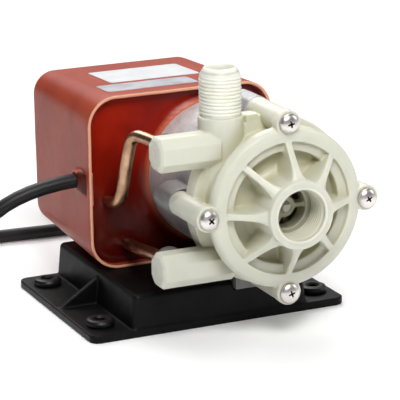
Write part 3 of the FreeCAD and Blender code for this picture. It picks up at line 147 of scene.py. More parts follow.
class Finish:
    def __init__(self, name):
        self.mat = bpy.data.materials.new(name)
        self.mat.use_nodes = True
        self.tree = self.mat.node_tree
        self.shader = self.tree.nodes["Principled BSDF"]
        self.height = None
        self.coords = self.node("ShaderNodeTexCoord").outputs["Object"]

    def node(self, kind, **values):
        made = self.tree.nodes.new(kind)
        for key, value in values.items():
            if hasattr(made, key):
                setattr(made, key, value)
            else:
                made.inputs[key].default_value = value
        return made

    def link(self, a, b):
        self.tree.links.new(a, b)

    def set(self, **values):
        for key, value in values.items():
            self.shader.inputs[key.replace("_", " ")].default_value = value
        return self

    # noise in object space; scale is waves per metre
    def grain(self, scale, detail=4.0, rough=0.55, stretch=None):
        source = self.coords
        if stretch:
            shape = self.node("ShaderNodeMapping")
            shape.inputs["Scale"].default_value = stretch
            self.link(source, shape.inputs["Vector"])
            source = shape.outputs["Vector"]
        made = self.node("ShaderNodeTexNoise", Scale=scale, Detail=detail, Roughness=rough)
        self.link(source, made.inputs["Vector"])
        return made.outputs["Fac"]

    def ramp(self, fac, *stops):
        made = self.node("ShaderNodeValToRGB")
        while len(made.color_ramp.elements) < len(stops):
            made.color_ramp.elements.new(0.5)
        for element, (at, colour) in zip(made.color_ramp.elements, stops):
            element.position = at
            element.color = (*colour, 1) if len(colour) == 3 else colour
        self.link(fac, made.inputs["Fac"])
        return made.outputs["Color"]

    def math(self, kind, a, b):
        made = self.node("ShaderNodeMath", operation=kind)
        for i, v in enumerate((a, b)):
            if isinstance(v, (int, float)):
                made.inputs[i].default_value = v
            else:
                self.link(v, made.inputs[i])
        return made.outputs[0]

    def mix(self, fac, a, b, kind="MIX"):
        made = self.node("ShaderNodeMix", data_type="RGBA", blend_type=kind)
        for socket, v in ((made.inputs[0], fac), (made.inputs[6], a), (made.inputs[7], b)):
            if isinstance(v, (int, float)):
                socket.default_value = v
            elif isinstance(v, tuple):
                socket.default_value = (*v, 1) if len(v) == 3 else v
            else:
                self.link(v, socket)
        return made.outputs[2]

    def colour(self, out):
        self.link(out, self.shader.inputs["Base Color"])
        return self

    # roughness swinging between two values with a noise
    def sheen(self, fac, low, high):
        span = self.node("ShaderNodeMapRange")
        span.inputs["To Min"].default_value = low
        span.inputs["To Max"].default_value = high
        self.link(fac, span.inputs["Value"])
        self.link(span.outputs[0], self.shader.inputs["Roughness"])
        return self

    def bump(self, fac, strength, distance):
        made = self.node("ShaderNodeBump", Strength=strength, Distance=distance)
        self.link(fac, made.inputs["Height"])
        if self.height:
            self.link(self.height, made.inputs["Normal"])
        self.height = made.outputs["Normal"]
        self.link(self.height, self.shader.inputs["Normal"])
        return self

    # one coordinate of the place on the part, in metres
    def coordinate(self, axisName):
        split = self.node("ShaderNodeSeparateXYZ")
        self.link(self.coords, split.inputs[0])
        return split.outputs[axisName]

    # the same, times a factor that brings it into a ramp's 0 to 1
    def along(self, axisName, factor):
        return self.math("MULTIPLY", self.coordinate(axisName), factor)

    # how open the surface is to its surroundings within a reach in metres
    def openness(self, reach, samples=12):
        return self.node("ShaderNodeAmbientOcclusion", samples=samples, Distance=reach).outputs["AO"]

    def times(self, a, b):
        return self.mix(1.0, a, b, "MULTIPLY")

    # painted shade that darkens the colour towards the floor: factor at the low height, and where it reaches
    # full
    def paintedLowShade(self, low, factor, high):
        perMetre = 5.0
        tall = self.along("Z", perMetre)
        return self.ramp(tall, (low * perMetre, (factor, factor, factor)), (high * perMetre, (1, 1, 1)))

    # bright edges, from how sharply the surface turns: wear on the foot, a painted highlight on the shell and
    # the resin
    def edges(self, low=0.52, high=0.60):
        shape = self.node("ShaderNodeNewGeometry").outputs["Pointiness"]
        return self.ramp(shape, (low, (0, 0, 0)), (high, (1, 1, 1)))


# natural moulded plastic: pale, with painted shade, darker and greener, in hollows and towards the floor;
# lengths in metres
plasticLook = {
    # painted shade: the first colour fills hollows within the reach
    "deep": (0.56, 0.535, 0.36),
    "face": (0.68, 0.675, 0.59),
    "cloud": (0.955, 0.965, 0.93),
    "reach": 0.014,
    "bleed": 0.004,
    # painted shade towards the floor
    "low": (0.02, 0.80, 0.065),
    "rough": (0.30, 0.44),
}


def moulded(name, **changed):
    look = {**plasticLook, **changed}
    f = Finish(name)
    between = tuple(0.5 * (a + b) for a, b in zip(look["deep"], look["face"]))
    # painted shade: darker and greener where the surface is closed in
    tone = f.ramp(f.openness(look["reach"]), (0.10, look["deep"]), (0.5, between), (0.88, look["face"]))
    patch = f.ramp(f.grain(60, 3), (0.3, look["cloud"]), (0.7, (1, 1, 1)))
    # painted shade towards the floor, times a random cloudy patch
    f.colour(f.times(f.times(tone, f.paintedLowShade(*look["low"])), patch))
    f.set(IOR=1.49, Subsurface_Weight=0.35, Subsurface_Radius=(1.0, 0.95, 0.6),
          Subsurface_Scale=look["bleed"])
    f.sheen(f.grain(180, 5), *look["rough"])
    f.bump(f.grain(700, 3), 0.10, 0.0003)
    f.bump(f.grain(90, 2), 0.14, 0.0008)
    return f.mat


# terracotta shell: satin, specked, with a painted highlight along the rim and on sharp edges
shellLook = {
    "low": (0.33, 0.044, 0.019),
    "high": (0.41, 0.064, 0.030),
    "speck": (0.80, 0.72, 0.70),
    "rimHighlight": (0.74, 0.36, 0.23),
    "edge": (0.80, 0.42, 0.32),
    "rimFrom": 0.54,  # in centimetres forward of the shell's face plane
    "rimTo": 0.59,
    "rimRagged": 0.0012,
    "gloss": 0.22,
    "rough": (0.36, 0.50),
}


def terracotta(name):
    look = shellLook
    f = Finish(name)
    tone = f.ramp(f.grain(35, 4), (0.3, look["low"]), (0.7, look["high"]))
    body = f.times(tone, f.ramp(f.grain(900, 2, 0.7), (0.32, look["speck"]), (0.42, (1, 1, 1))))
    # painted highlight: a bright band along the rim's front face, with a ragged edge
    ragged = f.math("MULTIPLY", f.grain(300, 3), look["rimRagged"])
    forward = f.math("SUBTRACT", f.along("Y", -1.0), ragged)
    forward = f.math("MULTIPLY", forward, 100.0)
    rimHighlight = f.ramp(forward, (look["rimFrom"], (0, 0, 0)), (look["rimTo"], (1, 1, 1)))
    body = f.mix(rimHighlight, body, look["rimHighlight"])
    # painted highlight on sharp edges
    f.colour(f.mix(f.edges(0.53, 0.62), body, look["edge"]))
    f.set(Specular_IOR_Level=look["gloss"])
    f.sheen(f.grain(120, 4), *look["rough"])
    f.bump(f.grain(520, 2), 0.18, 0.0003)
    f.bump(f.grain(26, 2), 0.22, 0.0018)
    return f.mat


# cast resin: deep red and glossy, with painted shade in hollows and towards the floor, a painted highlight on
# sharp edges, and lighter where it climbs the drum
resinLook = {
    "low": (0.18, 0.003, 0.0005),
    "high": (0.33, 0.011, 0.0014),
    "hollow": (0.20, 0.34, 0.60),
    "hollowReach": 0.026,
    "raised": (0.56, 0.13, 0.065),
    "raisedFrom": 0.20,  # in centimetres forward
    "raisedTo": 0.36,
    "edge": (0.50, 0.12, 0.065),
    "floorShadePart": (0.045, 0.30, 0.10),
    "gloss": 0.18,
    "rough": (0.16, 0.30),
}


def resin(name):
    look = resinLook
    f = Finish(name)
    tone = f.ramp(f.grain(40, 3), (0.3, look["low"]), (0.72, look["high"]))
    # painted shade in hollows
    shade = f.ramp(f.openness(look["hollowReach"]), (0.25, look["hollow"]), (0.66, (1, 1, 1)))
    tone = f.times(tone, shade)
    raised = f.ramp(f.along("Y", -100.0), (look["raisedFrom"], (0, 0, 0)), (look["raisedTo"], (1, 1, 1)))
    tone = f.mix(raised, tone, look["raised"])
    # painted shade towards the floor
    tone = f.times(tone, f.paintedLowShade(*look["floorShadePart"]))
    # painted highlight on sharp edges
    f.colour(f.mix(f.edges(0.56, 0.72), tone, look["edge"]))
    f.set(Specular_IOR_Level=look["gloss"])
    f.sheen(f.grain(150, 3), *look["rough"])
    f.bump(f.grain(70, 2), 0.22, 0.0012)
    return f.mat


# rough sand casting, with red resin smeared over it near the shell, painted shade towards the floor and
# painted shade on the lobes ahead
alloyLook = {
    "low": (0.71, 0.69, 0.685),
    "high": (0.93, 0.91, 0.90),
    "smear": (0.34, 0.085, 0.06),
    "smearFrom": -0.008,
    "smearTo": 0.004,
    "smearGaps": 0.36,
    "floorShadePart": (0.055, 0.45, 0.092),
    "ahead": (0.58, 0.585, 0.60),
    "shadeAheadFrom": 0.18,  # in decimetres forward
    "shadeAheadTo": 0.40,
    "rough": (0.42, 0.62),
}


def sandCast(name):
    look = alloyLook
    f = Finish(name)
    tone = f.ramp(f.grain(240, 6, 0.65), (0.30, look["low"]), (0.68, look["high"]))
    near = f.node("ShaderNodeMapRange")
    near.inputs["From Min"].default_value = look["smearFrom"]
    near.inputs["From Max"].default_value = look["smearTo"]
    f.link(f.coordinate("Y"), near.inputs["Value"])
    streak = f.grain(110, 5, 0.6, (1.0, 0.35, 1.0))
    wet = f.math("MULTIPLY", near.outputs[0], f.math("SUBTRACT", streak, look["smearGaps"]))
    tone = f.mix(f.ramp(wet, (0.075, (0, 0, 0)), (0.135, (1, 1, 1))), tone, look["smear"])
    # painted shade towards the floor
    tone = f.times(tone, f.paintedLowShade(*look["floorShadePart"]))
    # painted shade, darker on the lobes ahead
    ahead = f.ramp(f.along("Y", -10.0), (look["shadeAheadFrom"], (1, 1, 1)), (look["shadeAheadTo"], look["ahead"]))
    f.colour(f.times(tone, ahead))
    f.set(Metallic=0.25, IOR=1.5)
    f.sheen(f.grain(300, 4), *look["rough"])
    f.bump(f.grain(520, 6, 0.7), 0.55, 0.0006)
    f.bump(f.grain(130, 4), 0.35, 0.0012)
    return f.mat


# bare metal; recessShadeReach gives the depth of a hollow that gets painted shade
def metal(name, low, high, rough=(0.2, 0.35), scale=200, lumps=0.1, stretch=None, recessShadeReach=None):
    f = Finish(name)
    tone = f.ramp(f.grain(scale, 5, 0.6, stretch), (0.28, low), (0.72, high))
    if recessShadeReach:
        # painted shade: near black in hollows, such as the screws' cross recess
        recessShade = f.ramp(f.openness(recessShadeReach, 16), (0.45, (1, 1, 1)), (0.80, (0, 0, 0)))
        tone = f.mix(recessShade, tone, (0.035, 0.022, 0.018))
    f.colour(tone)
    f.set(Metallic=1.0)
    f.sheen(f.grain(scale * 2, 4), *rough)
    f.bump(f.grain(scale * 3, 4, 0.6, stretch), lumps, 0.0002)
    return f.mat


# anything that is neither metal nor clear: rubber, film, stone, grained plastic
def plain(name, low, high, rough=(0.4, 0.55), grainScale=900, lumps=0.25, worn=None, gloss=0.5):
    f = Finish(name)
    tone = f.ramp(f.grain(90, 4), (0.3, low), (0.7, high))
    if worn:
        tone = f.mix(f.edges(0.54, 0.64), tone, worn)
    f.colour(tone)
    f.set(Specular_IOR_Level=gloss)
    f.sheen(f.grain(160, 4), *rough)
    f.bump(f.grain(grainScale, 3, 0.6), lumps, 0.0003)
    return f.mat


finishes = {
    "white_plastic": moulded("naturalPlastic"),
    "red_shell": terracotta("terracottaShell"),
    "red_epoxy": resin("castResin"),
    "cast_alloy": sandCast("sandCastAlloy"),
    "copper_tube": metal("drawnCopper", (0.30, 0.165, 0.095), (0.66, 0.43, 0.28), (0.22, 0.42), 140, 0.2),
    "stainless": metal("polishedStainless", (0.70, 0.66, 0.64), (0.82, 0.77, 0.74), (0.30, 0.42), 160, 0.04,
                       recessShadeReach=0.0026),
    "black_foot": plain("grainedBlackFoot", (0.0025, 0.0025, 0.003), (0.005, 0.005, 0.0055), (0.34, 0.50),
                        1500, 0.45, worn=(0.014, 0.014, 0.015), gloss=0.13),
    "black_rubber": plain("softBlackRubber", (0.005, 0.005, 0.005), (0.010, 0.0095, 0.0095), (0.32, 0.5),
                          1100, 0.3, gloss=0.3),
    "cord_rubber": plain("cordJacket", (0.006, 0.006, 0.007), (0.011, 0.011, 0.012), (0.36, 0.5),
                         1300, 0.25, gloss=0.3),
    "label_film": plain("plainLabelFilm", (0.72, 0.73, 0.75), (0.84, 0.85, 0.86), (0.28, 0.42), 400, 0.06),
    "core_steel": metal("coreSheet", (0.16, 0.16, 0.17), (0.34, 0.34, 0.35), (0.35, 0.5), 200, 0.3,
                        stretch=(1, 8, 1)),
    "winding": metal("enamelledWire", (0.36, 0.12, 0.05), (0.62, 0.28, 0.13), (0.25, 0.4), 400, 0.5,
                     stretch=(1, 1, 8)),
    "rotor_alloy": metal("castRotorAlloy", (0.42, 0.42, 0.43), (0.64, 0.64, 0.65), (0.3, 0.45), 300, 0.3),
    "bearing_steel": metal("groundSteel", (0.55, 0.55, 0.56), (0.72, 0.72, 0.73), (0.1, 0.2), 200, 0.05),
    "turned_steel": metal("turnedSteel", (0.38, 0.38, 0.39), (0.56, 0.56, 0.57), (0.25, 0.4), 300, 0.2),
    "magnet": plain("sinteredMagnet", (0.03, 0.03, 0.035), (0.07, 0.07, 0.075), (0.5, 0.65), 700, 0.3),
    "ceramic": plain("groundCeramic", (0.66, 0.64, 0.60), (0.82, 0.80, 0.76), (0.2, 0.3), 600, 0.05),
    "carbon": plain("denseCarbon", (0.02, 0.02, 0.022), (0.04, 0.04, 0.042), (0.4, 0.5), 800, 0.2),
    "plug_brass": metal("plugBrass", (0.50, 0.38, 0.17), (0.70, 0.56, 0.28), (0.2, 0.35), 200, 0.1),
}
# a lighter copy of the plastic, painted light for the spigot's thread, without the painted shade in its
# grooves
litThreadPlastic = moulded("litThreadPlastic", deep=(0.86, 0.84, 0.70), face=(0.84, 0.83, 0.75), reach=0.004)
# a copy with painted light on the inlet thread's crests and painted shade in its grooves
litShadedInletPlastic = moulded("litShadedInletPlastic", deep=(0.34, 0.32, 0.17), face=(0.80, 0.785, 0.67), reach=0.0022,
                       bleed=0.0008)
spoutShade = plain("spoutShade", (0.055, 0.006, 0.003), (0.10, 0.012, 0.006), (0.3, 0.45), 500, 0.2,
                   gloss=0.3)
foil = plain("bareFoil", (0.36, 0.37, 0.40), (0.60, 0.61, 0.63), (0.25, 0.5), 500, 0.3)
greyRubber = plain("greyRubber", (0.085, 0.085, 0.082), (0.12, 0.12, 0.115), (0.4, 0.55), 1100, 0.3,
                   gloss=0.3)
for name, obj in nodes.items():
    obj.data.materials.clear()
    obj.data.materials.append(finishes[slotOf[name]])
nodes["front_label"].data.materials[0] = foil
print("finishes made and CAD nodes dressed")


# a piece of the fixed body, in the slot's finish or in one of its own
def newPiece(name, mesh, slotName, replaced=(), finish=None):
    obj = bpy.data.objects.new(name, mesh)
    scene.collection.objects.link(obj)
    mesh.materials.clear()
    mesh.materials.append(finish or finishes[slotName])
    for p in mesh.polygons:
        p.use_smooth = True
    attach(obj, "pump_body")
    if replaced:
        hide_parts(*replaced)
    return obj


def meshFrom(name, verts, faces):
    mesh = bpy.data.meshes.new(name)
    mesh.from_pydata([tuple(v) for v in verts], [], faces)
    bm = bmesh.new()
    bm.from_mesh(mesh)
    bmesh.ops.recalc_face_normals(bm, faces=bm.faces)
    bm.to_mesh(mesh)
    bm.free()
    mesh.validate()
    return mesh


# closed skin over a list of equal loops, first and last loops capped
def skinLoops(loops, capStart=True, capEnd=True, closeRound=False):
    n = len(loops[0])
    verts = [v for loop in loops for v in loop]
    faces = []
    count = len(loops)
    for i in range(count if closeRound else count - 1):
        a, b = i * n, ((i + 1) % count) * n
        faces += [(a + j, a + (j + 1) % n, b + (j + 1) % n, b + j) for j in range(n)]
    if capStart and not closeRound:
        faces.append(tuple(range(n))[::-1])
    if capEnd and not closeRound:
        faces.append(tuple(range((count - 1) * n, count * n)))
    return verts, faces


# equal turns round a circle
def turnsRound(count):
    return [2 * math.pi * i / count for i in range(count)]


# mesh of an object once its modifiers or curve settings are worked out
def settledMesh(raw):
    bpy.context.view_layer.update()
    made = bpy.data.meshes.new_from_object(raw.evaluated_get(bpy.context.evaluated_depsgraph_get()))
    bpy.data.objects.remove(raw)
    return made


# smooth curve object through lists of points in millimetres, round in section
def roundLine(curveName, name, lines, radius, sides, steps):
    data = bpy.data.curves.new(curveName, "CURVE")
    data.dimensions = "3D"
    data.bevel_depth = radius * mm
    data.bevel_resolution = sides
    data.use_fill_caps = True
    for line in lines:
        spline = data.splines.new("NURBS")
        spline.points.add(len(line) - 1)
        for point, at in zip(spline.points, line):
            point.co = (*(Vector(at) * mm), 1)
        spline.order_u = 3
        spline.use_endpoint_u = True
        spline.resolution_u = steps
    obj = bpy.data.objects.new(name, data)
    scene.collection.objects.link(obj)
    return obj


# pump axis: forward distance is minus Y
pumpAxis = {"right": 20.5, "up": 68.5}
axis = {"x": pumpAxis["right"] * mm, "z": pumpAxis["up"] * mm}


def onAxis(right, up, forward):
    return Vector((axis["x"] + right * mm, -forward * mm, axis["z"] + up * mm))


# mains cord: out of the wall, down to the floor, then wound behind the motor; millimetres
cordSet = {
    "radius": 3.8,
    "route": [(-43.5, 8, 69.0), (-87.5, 8, 69.0), (-118.5, 14, 35.0), (-122.5, 48, 3.8), (-112.5, 98, 3.8),
              (-77.5, 138, 3.8), (-20.5, 133.5, 3.8)],
    "coilCentre": (45.0, 176.0),
    "meanRadius": 44.5,
    "turns": 5.25,
    "spread": 10.1,
    "bottomTurns": 2.65,
    "climbTurns": 0.25,
    "holdTurns": 0.2,
    "topDrift": 7.62,
    "topLayer": 11.4,
    "perTurn": 14,
    # last points before the plug: past the coil's side, then (behind the last turn, height)
    "endOut": 8.0,
    "endPoints": ((14, 10.2), (32, 10.0)),
    "length": 1.83,
}


def cordLine():
    s = cordSet
    points = [Vector(p) for p in s["route"]]
    cx, cy = s["coilCentre"]
    cut = math.cos(math.pi / s["perTurn"])  # the spline runs inside its points
    bottom, wide = s["bottomTurns"], s["spread"]
    for i in range(1, int(s["turns"] * s["perTurn"]) + 1):
        t = i / s["perTurn"]
        if t < bottom:
            offset, z = wide - 2 * wide * t / bottom, s["radius"]
        else:
            rise = min((t - bottom) / s["climbTurns"], 1.0)
            offset = -wide + max(t - bottom - s["holdTurns"], 0) * s["topDrift"]
            z = s["radius"] + rise * (s["topLayer"] - s["radius"])
        r = (s["meanRadius"] + offset) / cut
        turn = -math.pi / 2 + 2 * math.pi * t
        points.append(Vector((cx + r * math.cos(turn), cy + r * math.sin(turn), z)))
    lastTurn = points[-1].y
    for behind, z in s["endPoints"]:
        points.append(Vector((cx + s["meanRadius"] + s["endOut"], lastTurn + behind, z)))
    return points


def makeCord():
    obj = roundLine("powerCord", "mainsCord", [cordLine()], cordSet["radius"], 5, 8)
    obj.data.materials.append(finishes["cord_rubber"])
    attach(obj, "pump_body")
    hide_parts("power_cord", "cord_coil")
    return obj


mainsCord = makeCord()
print("cord laid")


# winding thread as a grid of loops round an axis; place(turn, radius, along) gives a point,
# and plain loops of (radius, along) close it at both ends
def threadSkin(place, crest, root, pitch, start, end, ends, around=128, perPitch=9):
    first, last = ends
    turns = turnsRound(around)
    loops = [[place(turn, r, along) for turn in turns] for r, along in first]
    steps = int((end - start) / pitch * perPitch)
    flattening, fadeOut = 1.35, 0.6 * pitch
    for k in range(steps + 1):
        along = start + (end - start) * k / steps
        fade = min(1.0, (along - start) / pitch, (end - along) / fadeOut)
        ring = []
        for i, turn in enumerate(turns):
            wave = math.cos(2 * math.pi * (along / pitch - i / around))
            tooth = (0.5 + 0.5 * min(max(flattening * wave, -1.0), 1.0)) * max(fade, 0.0)
            ring.append(place(turn, root + (crest - root) * tooth, along))
        loops.append(ring)
    loops += [[place(turn, r, along) for turn in turns] for r, along in last]
    return skinLoops(loops, False, False)


# flared web round a rib: cross-sections along the rib, each (out, half width, bottom, top)
def webLoft(sections, turn):
    loops = []
    for out, half, low, high in sections:
        ring = []
        for side, at in ((-half, low), (half, low), (half, high), (-half, high)):
            ring.append(onAxis(out * math.cos(turn) - side * math.sin(turn),
                               out * math.sin(turn) + side * math.cos(turn), at))
        loops.append(ring)
    return skinLoops(loops)


# a copy of a CAD node with more solids melted into it and its edges softened as in a mould
def mouldedPiece(node, name, voxel, rounds, change=None, extra=()):
    mesh = nodes[node].data.copy()
    bm = bmesh.new()
    bm.from_mesh(mesh)
    bmesh.ops.remove_doubles(bm, verts=bm.verts, dist=1e-6)
    if change:
        for v in bm.verts:
            v.co = change(v.co.copy())
    for verts, faces in extra:
        made = [bm.verts.new(v) for v in verts]
        fresh = [bm.faces.new([made[i] for i in f]) for f in faces]
        bmesh.ops.recalc_face_normals(bm, faces=fresh)
    bm.to_mesh(mesh)
    bm.free()
    raw = bpy.data.objects.new("raw", mesh)
    scene.collection.objects.link(raw)
    melt = raw.modifiers.new("melt", "REMESH")
    melt.mode = "VOXEL"
    melt.voxel_size = voxel * mm
    soften = raw.modifiers.new("soften", "SMOOTH")
    soften.iterations = rounds
    soften.factor = 0.5
    made = settledMesh(raw)
    print("  ", name, len(made.polygons), "faces")
    return newPiece(name, made, slotOf[node], replaced=[node])


# front cover; distances out from the pump axis and forward, in millimetres
cover = {
    "voxel": 0.45,
    "rounds": 4,
    "face": 91.0,
    "hubFace": 105.7,
    "floor": 82.5,
    "hubRadius": 17.4,
    "ringInner": 33.9,
    "ribTop": 103.5,
    "ribs": 8,
    # each rib's flared root: distance out, half width
    "flare": ((15.2, 4.6), (17.0, 3.9), (18.6, 3.0), (20.8, 2.3), (23.5, 1.9), (27.0, 1.5)),
    "flareUnder": 0.25,
    # fillet round the hub's foot: radius, height over the floor
    "fillet": ((16.8, -1), (21.4, -1), (21.0, 0.3), (19.2, 1.2), (18.0, 2.6), (17.4, 5.0), (16.8, 6.0)),
    "filletAround": 96,
    "threadCrest": 12.4,
    "threadRoot": 13.45,
    "threadStart": 0.9,
    "threadDepth": 17.0,
    "runOut": 0.6,
    "pitch": 1.814,
    "boreBehind": 13.9,
    "boreSlack": 0.15,
    # lip of the inlet: radius, depth behind the hub's face
    "lip": ((14.9, 0.5), (14.3, 0.05), (13.6, 0.02), (13.4, 0.1), (12.6, 0.85)),
    "backStop": 10.6,
}


# widens the copied bore, so that the thread stands free in it
def reboreInlet(p):
    dx, dz = p.x - axis["x"], p.z - axis["z"]
    r = math.hypot(dx, dz)
    forward = -p.y / mm
    inside = forward > cover["hubFace"] - cover["threadDepth"] - 0.05
    if inside and abs(r / mm - cover["threadCrest"]) < cover["boreSlack"]:
        k = cover["boreBehind"] * mm / r
        return Vector((axis["x"] + dx * k, p.y, axis["z"] + dz * k))
    return p


def makeCover():
    c = cover
    extra = []
    slope = (c["ribTop"] - c["face"]) / (c["ringInner"] - c["hubRadius"])
    for turn in turnsRound(c["ribs"]):
        sections = []
        for out, half in c["flare"]:
            top = c["ribTop"] - slope * (out - c["hubRadius"] + 1) - c["flareUnder"]
            sections.append((out, half, c["floor"] - 1, top))
        extra.append(webLoft(sections, turn))
    rings = [[onAxis(r * math.cos(a), r * math.sin(a), c["floor"] + up) for r, up in c["fillet"]]
             for a in turnsRound(c["filletAround"])]
    extra.append(skinLoops(rings, closeRound=True))
    mouldedPiece("front_cover", "frontCover", c["voxel"], c["rounds"], reboreInlet, extra)

    def place(turn, r, along):
        return onAxis(r * math.cos(turn), r * math.sin(turn), c["hubFace"] - along)

    depth = c["threadDepth"]
    back = [(c["threadRoot"], depth), (c["backStop"], depth + 0.05)]
    verts, faces = threadSkin(place, c["threadCrest"], c["threadRoot"], c["pitch"], c["threadStart"],
                              depth - c["runOut"], (c["lip"], back))
    newPiece("inletThread", meshFrom("inletThread", verts, faces), "white_plastic", finish=litShadedInletPlastic)


makeCover()
print("front cover moulded")


# volute casing with its spigot; heights over the pump axis, in millimetres
volute = {
    "voxel": 0.45,
    "rounds": 4,
    "spigotX": -26.2,
    "spigotForward": 67.9,
    "collar": 46.0,
    "top": 70.6,
    "major": 10.67,
    "minor": 10.1,
    "behind": 9.1,
    "lead": 4.1,
    "mouth": 7.9,
    "pitch": 1.814,
    # rings before the thread: radius over its root, height over the collar
    "collarRings": ((-0.6, -0.3), (0.5, -0.3)),
    "chamfer": (0.55, 0.5),
    "lipRound": 0.25,
    # inner edge of the mouth: radius, depth under the top
    "mouthEdge": ((7.85, 0.04), (7.5, 0.04), (7.22, 0.3), (7.1, 3.0)),
    "skinSlack": 0.3,
    "topDrop": 0.6,
}


# draws the copied spigot in, so that the thread covers it
def shrinkSpigot(p):
    v = volute
    cx, cy = axis["x"] + v["spigotX"] * mm, -v["spigotForward"] * mm
    dx, dy = p.x - cx, p.y - cy
    r, up = math.hypot(dx, dy) / mm, (p.z - axis["z"]) / mm
    if up < v["collar"] - 0.05 or r > v["major"] + 0.2:
        return p
    k = 1.0
    if r > v["major"] - v["skinSlack"]:
        k = v["behind"] / r
    if up > v["top"] - 0.2:
        up -= v["topDrop"]
        if r > v["mouth"] - 0.2:
            k = (v["mouth"] - v["skinSlack"]) / r
    return Vector((cx + dx * k, cy + dy * k, axis["z"] + up * mm))


def makeVolute():
    v = volute
    mouldedPiece("volute_casing", "voluteCasing", v["voxel"], v["rounds"], shrinkSpigot)

    def place(turn, r, up):
        return onAxis(v["spigotX"] + r * math.cos(turn), up, v["spigotForward"] + r * math.sin(turn))

    lead, top = v["top"] - v["lead"], v["top"]
    foot = [(v["minor"] + wider, v["collar"] + up) for wider, up in v["collarRings"]]
    inward, upward = v["chamfer"]
    tip = [(v["major"] - inward, lead + upward), (v["mouth"] + v["lipRound"], top - v["lipRound"])]
    tip += [(r, top - down) for r, down in v["mouthEdge"]]
    verts, faces = threadSkin(place, v["major"], v["minor"], v["pitch"], v["collar"] - 0.2, lead, (foot, tip))
    newPiece("spigotThread", meshFrom("spigotThread", verts, faces), "white_plastic", finish=litThreadPlastic)


makeVolute()
print("volute moulded")

# plainly softened copies: node, then name, voxel in millimetres and rounds of smoothing
softened = {
    "rear_casing": ("rearCasing", 0.5, 3),
    "motor_bracket": ("castBracket", 0.5, 3),
    "mounting_foot": ("mountingFoot", 0.55, 2),
    "power_plug": ("powerPlug", 0.5, 3),
}
for node, (name, voxel, rounds) in softened.items():
    mouldedPiece(node, name, voxel, rounds)
print("castings, foot and plug moulded")


# motor shell: a drafted can with a rounded rim; millimetres
shell = {
    "width": 105.0,
    "height": 93.0,
    "front": 7.0,
    "depth": 91.0,
    "corner": 15.9,
    "draft": 3.6,
    "wall": 1.6,
    "rearRound": 1.6,
    "low": 22.0,
    "perCorner": 16,
    "perSide": 14,
    "roundSteps": 8,
    "wallSteps": 22,
    "innerDepths": (3.0, 6.0, 9.0, 14.0),
    "swell": 0.22,
    "swellScale": 26.0,
    "ripple": 0.10,
    "rippleScale": 120.0,
    "rimWidth": 1.2,
}


# rounded rectangle in the row's x-z plane, moved in by an inset, with points along its long sides
def shellLoop(forward, inset):
    s = shell
    shrink = s["draft"] * (s["front"] - forward) / s["depth"] + inset
    hw, hh = s["width"] / 2 - shrink, s["height"] / 2 - shrink
    r = max(s["corner"] - shrink, 0.5)
    middle = s["low"] + s["height"] / 2
    points = []
    for cx, cz, begin in ((hw - r, hh - r, 0), (-(hw - r), hh - r, 90), (-(hw - r), -(hh - r), 180),
                          (hw - r, -(hh - r), 270)):
        for i in range(s["perCorner"] + 1):
            a = math.radians(begin + 90 * i / s["perCorner"])
            points.append((cx + r * math.cos(a), cz + r * math.sin(a)))
    filled = []
    for i, a in enumerate(points):
        b = points[(i + 1) % len(points)]
        filled.append(a)
        if math.dist(a, b) > 12:
            filled += [(a[0] + (b[0] - a[0]) * k / s["perSide"], a[1] + (b[1] - a[1]) * k / s["perSide"])
                       for k in range(1, s["perSide"])]
    return [Vector((x * mm, -forward * mm, (middle + z) * mm)) for x, z in filled]


def makeShell():
    s = shell
    rear = s["front"] - s["depth"]
    rearRound, w, steps = s["rearRound"], s["wall"], s["roundSteps"]
    loops = []
    for k in range(steps, -1, -1):
        a = math.radians(90 * k / steps)
        loops.append(shellLoop(rear + rearRound * (1 - math.sin(a)), rearRound * (1 - math.cos(a))))
    for k in range(1, s["wallSteps"] + 1):
        loops.append(shellLoop(rear + rearRound + (s["depth"] - rearRound - w / 2) * k / s["wallSteps"], 0))
    for k in range(1, steps + 1):
        a = math.radians(180 * k / steps)
        loops.append(shellLoop(s["front"] - w / 2 * (1 - math.sin(a)), w / 2 * (1 - math.cos(a))))
    for depth in s["innerDepths"]:
        loops.append(shellLoop(s["front"] - depth, w))
    verts, faces = skinLoops(loops, True, False)
    # slight swell of the walls and a soft ripple along the rim
    rimFrom = -(s["front"] - s["rimWidth"]) * mm
    out = []
    for v in verts:
        swell = noise.noise(v * s["swellScale"]) * s["swell"] * mm
        ripple = noise.noise(v * s["rippleScale"]) * s["ripple"] * mm if v.y < rimFrom else 0.0
        toMiddle = Vector((-v.x, 0, (s["low"] + s["height"] / 2) * mm - v.z)).normalized()
        out.append(v + toMiddle * (abs(swell) + abs(ripple)))
    newPiece("motorShell", meshFrom("motorShell", out, faces), "red_shell", replaced=["motor_shell"])


makeShell()


# distance inside the shell's inner outline at a forward place, in millimetres
def wallGap(x, z, forward):
    s = shell
    shrink = s["draft"] * (s["front"] - forward) / s["depth"] + s["wall"]
    hw, hh = s["width"] / 2 - shrink, s["height"] / 2 - shrink
    r = s["corner"] - shrink
    qx, qz = abs(x) - (hw - r), abs(z - s["low"] - s["height"] / 2) - (hh - r)
    return -(math.hypot(max(qx, 0), max(qz, 0)) + min(max(qx, qz), 0) - r)


# cast resin: clings to the shell wall, the bracket and the tube's two legs; millimetres
potting = {
    "face": 1.0,
    "wallCling": 1.3,
    "wallReach": 1.5,
    "wallOverlap": 0.1,
    "bracketCling": 3.4,
    "bracketReach": 2.6,
    "bracketRadius": 38.3,
    # where each leg goes in: right, up, height of the resin round it
    "legs": ((-41.0, 58.0, 1.6), (-30.5, 34.0, 1.6)),
    "legRadius": 2.4,
    "legReach": 2.4,
    # ripples: height, waves per millimetre, seed
    "ripples": ((0.30, 0.045, 3.1), (0.10, 0.3, 7.7)),
    "skirt": (12.0, 1.0),
    "rings": 74,
    "crowding": 1.25,
}


